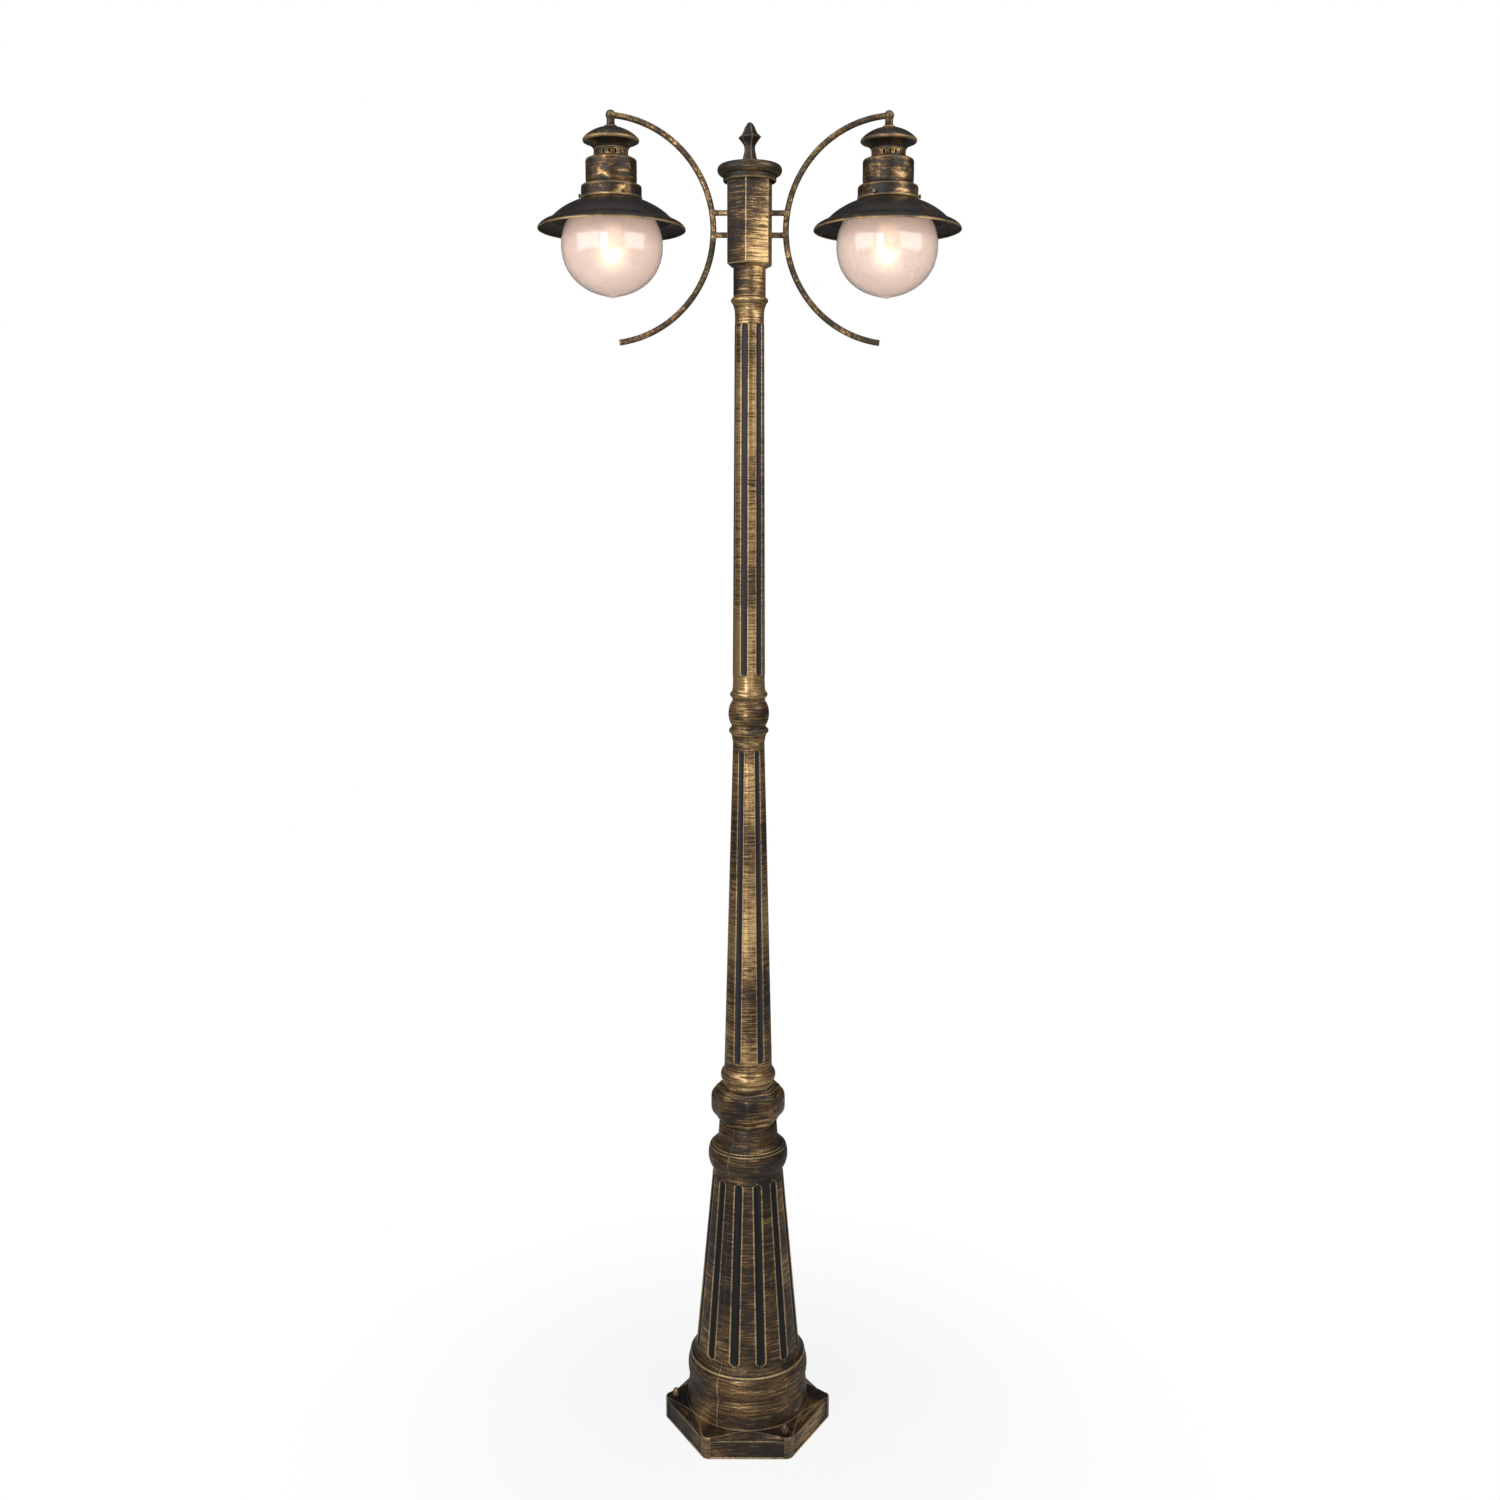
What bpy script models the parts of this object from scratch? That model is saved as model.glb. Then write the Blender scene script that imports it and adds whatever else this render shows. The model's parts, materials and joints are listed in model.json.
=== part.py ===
"""Two-lantern garden lamp post with a hexagonal cast foot.

Heights and radii are written in millimetres and turned into metres where a
mesh is made.  +Z is up, the arms reach along +X and -X, and the origin is the
centre of the foot's underside.
"""

import math

import bmesh
import bpy
from mathutils import Matrix, Vector

MM = 0.001
GAP = 0.3                      # clearance between pieces that touch

# Driving dimensions, in millimetres
FOOT_CORNER_RADIUS = 154.5
FOOT_CORNER_ROUNDING = 14.5
PAD_HEIGHT = 41.2              # top of the foot's plate
STUD_CIRCLE_RADIUS = 133.4
STUD_RADIUS = 4.0              # M8 anchor studs
STUD_TOP = 52.2
STUD_WORDS = ("left", "front", "rear")
PANEL_HALF_WIDTH = 66.4        # panels in the plate's sides, between the corner posts
PANEL_TOP = 33.5
PANEL_DEPTH = 1.7
NECK_BORE = 30.4
BASE_TOP = 585.5
COLLAR_TOP = 657.0
LOWER_POLE_TOP = 1279.5
COUPLING_BOTTOM = 1279.8
COUPLING_TOP = 1372.0
UPPER_POLE_TOP = 2004.0
NIPPLE_BORE = 19.6             # bore that takes the joining nipples
SLEEVE_BOTTOM = 2027.2
BOX_BOTTOM = 2079.0
BOX_TOP = 2212.0
BOX_TURN = -9.0                # degrees that the box stands turned between its arms
BOX_CORNER_RADIUS = 39.9
BOX_WALL = 3.0
GASKET_THICKNESS = 1.6
LANTERN_X = 228.0
ARM_CENTRE_X = 242.0
ARM_CENTRE_Z = 2133.5
ARM_RADIUS = 182.0
ARM_TUBE_RADIUS = 5.0
ARM_BORE_RADIUS = 3.8
ARM_TOP_ANGLE = 95.7           # degrees about the arm's centre, from +X
ARM_END_ANGLE = 262.2
SPACER_RADIUS = 4.5
SPACER_HEIGHTS = (2161.4, 2126.2)
BALL_HEIGHT = 2315.0
GLOBE_SCREW_HEIGHT = 2188.0
SWIVEL_SCREW_ANGLES = (50.0, 130.0)
SWIVEL_SCREW_HEIGHT = 2049.0

FOOT_STEPS = 24
TURNED_STEPS = 20
LANTERN_STEPS = 16
SMALL_STEPS = 12
ARM_POINTS = 25

PARTS = "lamp_post"
CUTTERS = "cutters"


# ---------------------------------------------------------------- scene

def clear_scene():
    for obj in list(bpy.data.objects):
        bpy.data.objects.remove(obj, do_unlink=True)


def make_collection(name):
    collection = bpy.data.collections.new(name)
    bpy.context.scene.collection.children.link(collection)
    return collection


def make_material(name, colour, roughness, metallic, transmission=0.0):
    material = bpy.data.materials.new(name)
    material.use_nodes = True
    shader = material.node_tree.nodes["Principled BSDF"]
    shader.inputs["Base Color"].default_value = (*colour, 1.0)
    shader.inputs["Roughness"].default_value = roughness
    shader.inputs["Metallic"].default_value = metallic
    shader.inputs["Transmission Weight"].default_value = transmission
    material.diffuse_color = (*colour, 1.0)
    return material


def make_materials():
    return {
        "bronze": make_material("antique_bronze_paint", (0.12, 0.085, 0.045), 0.45, 0.6),
        "dark": make_material("dark_bronze_paint", (0.035, 0.028, 0.02), 0.5, 0.5),
        "globe": make_material("tinted_globe", (0.86, 0.76, 0.70), 0.15, 0.0, 0.8),
        "glass": make_material("bulb_glass", (0.95, 0.93, 0.88), 0.1, 0.0, 0.9),
        "steel": make_material("zinc_plated_steel", (0.55, 0.55, 0.53), 0.35, 1.0),
        "brass": make_material("brass", (0.72, 0.55, 0.25), 0.3, 1.0),
        "ceramic": make_material("white_ceramic", (0.85, 0.84, 0.80), 0.3, 0.0),
        "rubber": make_material("black_rubber", (0.02, 0.02, 0.02), 0.8, 0.0),
        "plastic": make_material("pale_plastic", (0.75, 0.73, 0.66), 0.5, 0.0),
    }


# ---------------------------------------------------------------- outlines

def arc(radius, height, reach, rise, start, end, count):
    """Points on an ellipse's arc about (radius, height), angles in degrees."""
    points = []
    for index in range(count):
        angle = math.radians(start + (end - start) * index / (count - 1))
        points.append((radius + reach * math.cos(angle), height + rise * math.sin(angle)))
    return points


def bezier(first, second, third, fourth, count):
    """Points on a cubic curve through first and fourth."""
    points = []
    for index in range(count):
        t = index / (count - 1)
        s = 1.0 - t
        weights = (s ** 3, 3 * s * s * t, 3 * s * t * t, t ** 3)
        corners = (first, second, third, fourth)
        points.append(tuple(sum(w * c[axis] for w, c in zip(weights, corners)) for axis in (0, 1)))
    return points


def rounded_hexagon(corner_radius, rounding, count=4):
    """A hexagon's outline with its flat sides facing -Y and +Y."""
    outline = []
    centre_radius = corner_radius - rounding / math.cos(math.radians(30))
    for corner in range(6):
        middle = 60.0 * corner
        centre_x = centre_radius * math.cos(math.radians(middle))
        centre_y = centre_radius * math.sin(math.radians(middle))
        for index in range(count):
            angle = math.radians(middle - 30 + 60 * index / (count - 1))
            outline.append((centre_x + rounding * math.cos(angle),
                            centre_y + rounding * math.sin(angle)))
    return outline


# ---------------------------------------------------------------- makers

class Shop:
    """Makes objects and keeps the collections and materials at hand."""

    def __init__(self):
        self.parts = make_collection(PARTS)
        self.cutters = make_collection(CUTTERS)
        self.materials = make_materials()

    def add(self, name, mesh, material, at=(0, 0, 0), turn=0.0, smooth=True):
        obj = bpy.data.objects.new(name, mesh)
        self.parts.objects.link(obj)
        obj.location = Vector(at) * MM
        obj.rotation_euler.z = math.radians(turn)
        obj.data.materials.clear()
        obj.data.materials.append(self.materials[material])
        if smooth and mesh.polygons:
            mesh.shade_smooth()
            mesh.set_sharp_from_angle(angle=math.radians(35))
        return obj

    def turned(self, name, profile, material, steps=TURNED_STEPS, at=(0, 0, 0), turn=0.0,
               closed=True, wall=0.0):
        """Turn a profile of (radius, height) points about the vertical axis at `at`.

        With a wall the profile is an open surface that grows inwards by it.
        """
        mesh = bpy.data.meshes.new(name)
        points = [(radius * MM, 0.0, (height - at[2]) * MM) for radius, height in profile]
        edges = [(index, index + 1) for index in range(len(points) - 1)]
        if closed:
            edges.append((len(points) - 1, 0))
        mesh.from_pydata(points, edges, [])
        obj = self.add(name, mesh, material, at, turn)
        screw = obj.modifiers.new("Turn", "SCREW")
        screw.axis = "Z"
        screw.steps = steps
        screw.render_steps = steps
        screw.use_merge_vertices = True
        screw.merge_threshold = 0.00001
        screw.use_smooth_shade = steps > 8
        if wall:
            solidify = obj.modifiers.new("Wall", "SOLIDIFY")
            solidify.thickness = wall * MM
            solidify.offset = -1.0
        return obj

    def cut(self, obj, cutter, operation="DIFFERENCE"):
        """Boolean with a cutter, which is kept out of the parts."""
        for collection in list(cutter.users_collection):
            collection.objects.unlink(cutter)
        self.cutters.objects.link(cutter)
        cutter.hide_render = True
        cutter.display_type = "WIRE"
        boolean = obj.modifiers.new(cutter.name, "BOOLEAN")
        boolean.object = cutter
        boolean.operation = operation
        boolean.solver = "EXACT"
        return obj

    def settle(self, obj):
        """Replace an object's mesh by its evaluated one, without modifiers."""
        bpy.context.view_layer.update()
        graph = bpy.context.evaluated_depsgraph_get()
        mesh = bpy.data.meshes.new_from_object(obj.evaluated_get(graph))
        obj.modifiers.clear()
        obj.data = mesh
        return obj

    def copies(self, names, piece, matrices, material):
        """A copy of the piece at each matrix, which is in metres, all on one mesh."""
        self.settle(piece)
        mesh = piece.data
        bpy.data.objects.remove(piece, do_unlink=True)
        for name, matrix in zip(names, matrices):
            self.add(name, mesh, material).matrix_world = matrix


def prism_mesh(name, outline, low, high):
    """An upright prism on an outline of (x, y) points."""
    bm = bmesh.new()
    face = bm.faces.new([bm.verts.new((x * MM, y * MM, low * MM)) for x, y in outline])
    raised = bmesh.ops.extrude_face_region(bm, geom=[face])
    top = [item for item in raised["geom"] if isinstance(item, bmesh.types.BMVert)]
    bmesh.ops.translate(bm, verts=top, vec=(0, 0, (high - low) * MM))
    bmesh.ops.recalc_face_normals(bm, faces=bm.faces)
    mesh = bpy.data.meshes.new(name)
    bm.to_mesh(mesh)
    bm.free()
    return mesh


def box_mesh(name, size, centre=(0, 0, 0)):
    bm = bmesh.new()
    matrix = Matrix.Translation(Vector(centre) * MM) @ Matrix.Diagonal((*(Vector(size) * MM), 1.0))
    bmesh.ops.create_cube(bm, size=1.0, matrix=matrix)
    mesh = bpy.data.meshes.new(name)
    bm.to_mesh(mesh)
    bm.free()
    return mesh


def rod_mesh(name, start, end, radius, sides=16):
    """A plain cylinder from start to end, both in millimetres."""
    start = Vector(start) * MM
    end = Vector(end) * MM
    axis = end - start
    matrix = (Matrix.Translation((start + end) / 2)
              @ axis.to_track_quat("Z", "Y").to_matrix().to_4x4())
    bm = bmesh.new()
    bmesh.ops.create_cone(bm, cap_ends=True, segments=sides, radius1=radius * MM,
                          radius2=radius * MM, depth=axis.length, matrix=matrix)
    mesh = bpy.data.meshes.new(name)
    bm.to_mesh(mesh)
    bm.free()
    return mesh


def join_meshes(name, meshes):
    """One mesh that holds separate bodies."""
    bm = bmesh.new()
    for mesh in meshes:
        bm.from_mesh(mesh)
    joined = bpy.data.meshes.new(name)
    bm.to_mesh(joined)
    bm.free()
    return joined


def about_z(angle):
    return Matrix.Rotation(math.radians(angle), 4, "Z")


def flute_mesh(name, count, first_angle, low, high, low_radius, high_radius,
               low_width, high_width, depth):
    """Round-ended gouges set about a tapering shaft.

    low and high are the flute's ends, and the radii are the shaft's there.
    """
    meshes = []
    for index in range(count):
        bm = bmesh.new()
        bmesh.ops.create_uvsphere(bm, u_segments=8, v_segments=6, radius=1.0)
        for vert in bm.verts:
            upper = vert.co.z > -0.01
            width = high_width if upper else low_width
            shaft = high_radius if upper else low_radius
            height = high if upper else low
            gouge = (width * width / 4 + depth * depth) / (2 * depth)
            end = width / 2
            inset = height - end if upper else height + end
            radial = shaft + gouge - depth - width * width / (8 * shaft)
            vert.co = Vector((radial + vert.co.x * gouge, vert.co.y * gouge,
                              inset + vert.co.z * gouge)) * MM
        bmesh.ops.transform(bm, verts=bm.verts, matrix=about_z(first_angle + 360.0 * index / count))
        mesh = bpy.data.meshes.new(name)
        bm.to_mesh(mesh)
        bm.free()
        meshes.append(mesh)
    return join_meshes(name, meshes)


# ---------------------------------------------------------------- foot and post

def base_casting(shop):
    """Hollow cast foot: hexagonal plate, round skirt, torus, fluted cone and neck."""
    outer = [(51.8, BASE_TOP), (54.0, 555.7)]
    outer += arc(55.4, 523.4, 16.4, 28.1, 72, -62, 5)
    outer += [(63.4, 494.3), (94.7, 150.8), (97.2, 149.2)]
    outer += arc(86.7, 111.9, 23.3, 37.9, 54, -34, 4)
    outer += [(106.3, 87.6), (108.6, 81.0), (110.4, 58.0), (111.0, 45.0), (112.4, PAD_HEIGHT),
              (170.0, PAD_HEIGHT), (170.0, 0.0)]
    inner = [(119.9, 0.0), (119.9, 24.7), (102.3, 43.3), (99.1, 99.2), (87.7, 146.6),
             (57.0, 487.0), (47.7, 542.1), (NECK_BORE, 552.5), (NECK_BORE, BASE_TOP)]
    base = shop.turned("base_casting", outer + inner, "bronze", steps=FOOT_STEPS)

    plan = rounded_hexagon(FOOT_CORNER_RADIUS, FOOT_CORNER_ROUNDING)
    plate = shop.add("foot_plan", prism_mesh("foot_plan", plan, -20, BASE_TOP + 40), "bronze")
    shop.cut(base, plate, "INTERSECT")

    for name, make_mesh in (("foot_panels", panel_mesh), ("foot_scoops", scoop_mesh)):
        sides = [make_mesh() for _ in range(6)]
        for side_index, mesh in enumerate(sides):
            mesh.transform(about_z(60 * side_index))
        shop.cut(base, shop.add(name, join_meshes(name, sides), "bronze"))

    flutes = flute_mesh("base_flutes", 12, -90 + 15, 146.0, 487.0, 95.1, 64.1, 16.0, 13.4, 2.7)
    shop.cut(base, shop.add("base_flutes", flutes, "bronze"))

    holes = join_meshes("stud_holes", [
        rod_mesh("hole", (x, y, -5), (x, y, 90), STUD_RADIUS + 0.6)
        for x, y in stud_places()])
    return shop.cut(base, shop.add("stud_holes", holes, "bronze"))


def panel_mesh():
    """What is cut from a side of the plate between its corner posts, up to the panel's top."""
    apothem = FOOT_CORNER_RADIUS * math.cos(math.radians(30))
    low = 3.6
    thick = 8.0
    return box_mesh("panel", (2 * PANEL_HALF_WIDTH, thick, PANEL_TOP - low + 0.2),
                    (0.0, PANEL_DEPTH - apothem - thick / 2, (PANEL_TOP + low + 0.2) / 2))


def scoop_mesh():
    """What is cut above a panel: a ramp up to a ridge that bows in to touch the skirt."""
    apothem = FOOT_CORNER_RADIUS * math.cos(math.radians(30))
    foot = PANEL_DEPTH - apothem
    over = 0.4
    slant = (PAD_HEIGHT + over - PANEL_TOP) / (PAD_HEIGHT - PANEL_TOP)
    half = [(0.0, -113.2), (13.0, -114.8), (27.0, -118.6), (46.0, -125.2),
            (PANEL_HALF_WIDTH, foot + 0.2)]
    ridge = [(-x, y) for x, y in reversed(half[1:])] + half
    bm = bmesh.new()
    rings = []
    for x, y in ridge:
        section = [(foot, PANEL_TOP), (foot + (y - foot) * slant, PAD_HEIGHT + over),
                   (foot - 20.0, PAD_HEIGHT + over), (foot - 20.0, PANEL_TOP)]
        rings.append([bm.verts.new((x * MM, a * MM, z * MM)) for a, z in section])
    for ring, following in zip(rings, rings[1:]):
        for index in range(4):
            after = (index + 1) % 4
            bm.faces.new((ring[index], ring[after], following[after], following[index]))
    bm.faces.new(rings[0])
    bm.faces.new(rings[-1])
    bmesh.ops.recalc_face_normals(bm, faces=bm.faces)
    mesh = bpy.data.meshes.new("scoop")
    bm.to_mesh(mesh)
    bm.free()
    return mesh


def stud_places():
    """Three studs, one at every second corner of the foot."""
    return [(STUD_CIRCLE_RADIUS * math.cos(math.radians(angle)),
             STUD_CIRCLE_RADIUS * math.sin(math.radians(angle))) for angle in (180, 300, 60)]


def anchors(shop):
    """M8 studs and cap nuts that hold the foot down."""
    places = [Matrix.Translation((x * MM, y * MM, 0)) for x, y in stud_places()]
    stud = shop.turned("stud", [(0, STUD_TOP), (3.4, STUD_TOP), (STUD_RADIUS, STUD_TOP - 0.6),
                                (STUD_RADIUS, 0.6), (0, 0.6)], "steel", steps=12, closed=False)
    shop.copies(["anchor_stud_" + word for word in STUD_WORDS], stud, places, "steel")

    low = PAD_HEIGHT + GAP
    nut = shop.turned("nut", [(0, low + 9), (7.5, low + 6.5), (7.5, low), (0, low)], "bronze",
                      steps=6, closed=False)
    dome_profile = arc(0.0, low + 7.0, 6.3, 8.0, 90, 0, 5)[1:-1]
    dome_profile = [(0.0, low + 15.0)] + dome_profile
    dome_profile += [(6.3, low + 7.0), (6.3, low + 4.0), (0, low + 4.0)]
    dome = shop.turned("nut_dome", dome_profile, "bronze", steps=14, closed=False)
    shop.cut(nut, dome, "UNION")
    bore = rod_mesh("nut_bore", (0, 0, low - 3), (0, 0, STUD_TOP + 0.6), STUD_RADIUS + 0.4, 12)
    shop.cut(nut, shop.add("nut_bore", bore, "bronze"))
    shop.copies(["anchor_cap_nut_" + word for word in STUD_WORDS], nut, places, "bronze")


def base_collar(shop):
    """Eight-sided collar that ties the lower pole to the foot's neck."""
    outer = [(47.6, COLLAR_TOP), (48.6, 654.3), (58.4, 649.6)]
    outer += arc(54.3, 630.4, 13.3, 17.6, 60, 5, 4)
    outer += arc(54.3, 612.8, 13.3, 18.7, -5, -60, 4)
    outer += [(55.3, 588.4), (52.8, BASE_TOP + GAP)]
    inner = [(NECK_BORE + 3.0, BASE_TOP + GAP), (NECK_BORE + 3.0, COLLAR_TOP)]
    return shop.turned("base_collar", outer + inner, "bronze", steps=8)


def pipe(shop, name, radius, bore, low, high):
    """A plain threaded tube that joins two sections."""
    profile = [(radius, high), (radius, low), (bore, low), (bore, high)]
    return shop.turned(name, profile, "steel", steps=LANTERN_STEPS)


def lower_pole(shop):
    """Tapering cast pole with six flutes and a bead at its foot."""
    foot = COLLAR_TOP + GAP
    outer = [(27.5, LOWER_POLE_TOP), (27.8, 1264.3), (42.6, 697.8), (43.2, 687.4)]
    outer += arc(42.5, 672.4, 6.6, 11.4, 60, -60, 4)
    outer += [(45.1, foot)]
    inner = [(NECK_BORE, foot), (NECK_BORE, 735.0), (35.8, 751.6), (23.7, 1225.6),
             (NIPPLE_BORE, 1238.0), (NIPPLE_BORE, LOWER_POLE_TOP)]
    pole = shop.turned("lower_pole", outer + inner, "bronze")
    flutes = flute_mesh("lower_flutes", 6, -90 - 27.5, 703.0, 1266.0, 42.4, 27.8, 11.6, 8.7, 2.3)
    return shop.cut(pole, shop.add("lower_flutes", flutes, "bronze"))


def mid_coupling(shop):
    """Turned coupling with a ball between two beads."""
    outer = [(28.2, COUPLING_TOP), (28.8, 1367.9)]
    outer += arc(28.8, 1361.3, 3.8, 4.7, 55, -55, 3)
    outer += [(28.5, 1354.2)]
    outer += arc(20.3, 1328.3, 15.0, 26.4, 56, -50, 5)
    outer += [(30.2, 1305.4)]
    outer += arc(30.2, 1298.3, 4.3, 4.9, 55, -55, 3)
    outer += [(29.4, 1287.7), (28.0, COUPLING_BOTTOM)]
    inner = [(NIPPLE_BORE, COUPLING_BOTTOM), (NIPPLE_BORE, COUPLING_TOP)]
    return shop.turned("mid_coupling", outer + inner, "bronze")


def upper_pole(shop):
    """Slim upper pole with six flutes."""
    bottom = COUPLING_TOP + GAP
    outer = [(24.8, UPPER_POLE_TOP), (24.4, 1997.0), (27.7, 1381.1), (28.2, bottom)]
    inner = [(NIPPLE_BORE, bottom), (NIPPLE_BORE, UPPER_POLE_TOP)]
    pole = shop.turned("upper_pole", outer + inner, "bronze")
    flutes = flute_mesh("upper_flutes", 6, -90 - 19.0, 1394.0, 1983.0, 27.6, 24.5, 11.1, 10.6, 2.1)
    return shop.cut(pole, shop.add("upper_flutes", flutes, "bronze"))


def head_spigot(shop):
    """Spigot that the head turns on, with the bead that its sleeve rests on."""
    shoulder = SLEEVE_BOTTOM - GAP
    outer = [(21.0, 2067.0), (21.0, shoulder), (27.0, shoulder)]
    outer += arc(26.5, 2021.0, 4.6, 4.8, 55, -55, 3)
    outer += [(26.0, 2011.0), (24.9, UPPER_POLE_TOP + GAP)]
    inner = [(19.2, UPPER_POLE_TOP + GAP), (19.2, 1972.0), (16.0, 1972.0), (16.0, 2067.0)]
    return shop.turned("head_spigot", outer + inner, "bronze")


def cable_grommet(shop):
    """Rubber grommet that lines the spigot's mouth for the supply cable."""
    profile = [(8.0, 2070.0), (20.0, 2070.0), (20.0, 2067.3), (15.6, 2067.3), (15.6, 2059.0),
               (8.0, 2059.0)]
    return shop.turned("cable_grommet", profile, "rubber", steps=12)


# ---------------------------------------------------------------- head

def head_box(shop):
    """Six-sided junction box on a round sleeve, open at the top."""
    wall = BOX_WALL / math.cos(math.radians(30))
    corner = BOX_CORNER_RADIUS
    outer = [(corner, BOX_TOP), (corner, BOX_BOTTOM), (26.0, 2072.0)]
    inner = [(25.0, 2072.0), (25.0, 2081.0), (corner - wall, 2088.0), (corner - wall, BOX_TOP)]
    box = shop.turned("head_box", outer + inner, "bronze", steps=6, turn=30.0 + BOX_TURN)
    sleeve = shop.turned("sleeve", [(24.0, 2083.0), (26.9, 2077.0), (26.9, SLEEVE_BOTTOM),
                                    (21.4, SLEEVE_BOTTOM), (21.4, 2083.0)], "bronze", turn=-30.0)
    shop.cut(box, sleeve, "UNION")

    ways = [rod_mesh("wire_way", (-60, 0, SPACER_HEIGHTS[0]), (60, 0, SPACER_HEIGHTS[0]), 3.0)]
    for angle in SWIVEL_SCREW_ANGLES:
        direction = about_z(angle) @ Vector((1, 0, 0))
        ways.append(rod_mesh("screw_way", direction * 10 + Vector((0, 0, SWIVEL_SCREW_HEIGHT)),
                             direction * 40 + Vector((0, 0, SWIVEL_SCREW_HEIGHT)), 3.4, 12))
    cutter = shop.add("head_ways", join_meshes("head_ways", ways), "bronze")
    return shop.cut(box, cutter)


def swivel_screws(shop):
    """Two M6 grub screws that lock the head on its spigot."""
    screw = shop.add("screw", rod_mesh("screw", (21.3, 0, SWIVEL_SCREW_HEIGHT),
                                       (27.2, 0, SWIVEL_SCREW_HEIGHT), 3.0, 12), "steel")
    socket = shop.add("screw_socket", rod_mesh("screw_socket", (24.6, 0, SWIVEL_SCREW_HEIGHT),
                                               (30.0, 0, SWIVEL_SCREW_HEIGHT), 1.6, 6), "steel")
    shop.cut(screw, socket)
    shop.copies(("swivel_set_screw_1", "swivel_set_screw_2"), screw,
                [about_z(angle) for angle in SWIVEL_SCREW_ANGLES], "steel")


def arm_point(side, angle, radius=ARM_RADIUS):
    """A point on an arm's centre line, in millimetres; side is +1 or -1."""
    turn = math.radians(angle)
    return Vector((side * (ARM_CENTRE_X + radius * math.cos(turn)), 0.0,
                   ARM_CENTRE_Z + radius * math.sin(turn)))


def arm_tube_mesh(name, side, radius, extra=0.0, sides_level=1):
    """The arm's curved rod as a mesh, made from a bevelled curve."""
    curve = bpy.data.curves.new(name, "CURVE")
    curve.dimensions = "3D"
    curve.bevel_depth = radius * MM
    curve.bevel_resolution = sides_level
    curve.use_fill_caps = True
    spline = curve.splines.new("POLY")
    spline.points.add(ARM_POINTS - 1)
    start = ARM_TOP_ANGLE - extra
    end = ARM_END_ANGLE + extra
    for index, point in enumerate(spline.points):
        place = arm_point(side, start + (end - start) * index / (ARM_POINTS - 1)) * MM
        point.co = (*place, 1.0)
    obj = bpy.data.objects.new(name, curve)
    bpy.context.scene.collection.objects.link(obj)
    bpy.context.view_layer.update()
    graph = bpy.context.evaluated_depsgraph_get()
    mesh = bpy.data.meshes.new_from_object(obj.evaluated_get(graph))
    bpy.data.objects.remove(obj, do_unlink=True)
    bm = bmesh.new()
    bm.from_mesh(mesh)
    bmesh.ops.remove_doubles(bm, verts=bm.verts, dist=0.00001)
    bmesh.ops.recalc_face_normals(bm, faces=bm.faces)
    bm.to_mesh(mesh)
    bm.free()
    return mesh


def arm(shop, name, side):
    """Bowed tube that carries a lantern, with a wire hole beside the upper spacer."""
    tube = shop.add(name, arm_tube_mesh(name, side, ARM_TUBE_RADIUS, sides_level=2), "bronze")
    bore = shop.add(name + "_bore", arm_tube_mesh(name, side, ARM_BORE_RADIUS, 2.0), "bronze")
    shop.cut(tube, bore)
    height = SPACER_HEIGHTS[0]
    hole = shop.add(name + "_hole", rod_mesh("hole", (side * 50, 0, height), (side * 62, 0, height),
                                             3.0, 12), "bronze")
    return shop.cut(tube, hole)


def arm_plug(shop, name, side):
    """End plug in an arm's lower end."""
    inner = arm_point(side, ARM_END_ANGLE - 2.2)
    lip = arm_point(side, ARM_END_ANGLE - 0.1)
    return shop.add(name, rod_mesh(name, inner, lip, ARM_BORE_RADIUS - 1.2, 12), "dark")


def box_outline(grow):
    """The junction box's six-sided plan, grown outwards, as (x, y) points."""
    radius = BOX_CORNER_RADIUS + grow / math.cos(math.radians(30))
    angles = [math.radians(30 + BOX_TURN + 60 * corner) for corner in range(6)]
    return [(radius * math.cos(angle), radius * math.sin(angle)) for angle in angles]


def spacer(shop, name, side, height, hollow):
    """Short stay between the box's face and an arm, coped to fit the arm's tube."""
    rise = height - ARM_CENTRE_Z
    crossing = math.degrees(math.pi - math.asin(rise / ARM_RADIUS))
    stay = shop.add(name, rod_mesh(name, (side * 30, 0, height), (side * 61.5, 0, height),
                                   SPACER_RADIUS, 14), "bronze")
    face = prism_mesh("face", box_outline(GAP), height - 10, height + 10)
    shop.cut(stay, shop.add(name + "_face", face, "bronze"))
    middle = arm_point(side, crossing)
    along = (arm_point(side, crossing + 1) - arm_point(side, crossing - 1)).normalized() * 14
    cope = rod_mesh("cope", middle - along, middle + along, ARM_TUBE_RADIUS + GAP, 20)
    shop.cut(stay, shop.add(name + "_cope", cope, "bronze"))
    if hollow:
        bore = rod_mesh("bore", (side * 20, 0, height), (side * 70, 0, height), 3.0, 12)
        shop.cut(stay, shop.add(name + "_bore", bore, "bronze"))
    return stay


def gear_plate(shop):
    """Steel plate inside the box that carries the terminals."""
    return shop.add("gear_plate", box_mesh("gear_plate", (61.4, 1.5, 72.0), (0, 10.0, 2133.0)),
                    "steel", turn=BOX_TURN)


def terminal_block(shop):
    """Three-pole terminal block with its wire holes along Z."""
    block = shop.add("terminal_block", box_mesh("terminal_block", (34.0, 13.0, 18.0),
                                                (0, 10.0 - 0.75 - GAP - 6.5, 2141.0)), "plastic",
                     turn=BOX_TURN)
    ways = join_meshes("terminal_ways", [
        rod_mesh("way", (x, 2.5, 2127), (x, 2.5, 2157), 1.9, 10) for x in (-11, 0, 11)])
    return shop.cut(block, shop.add("terminal_ways", ways, "plastic", turn=BOX_TURN))


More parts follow.
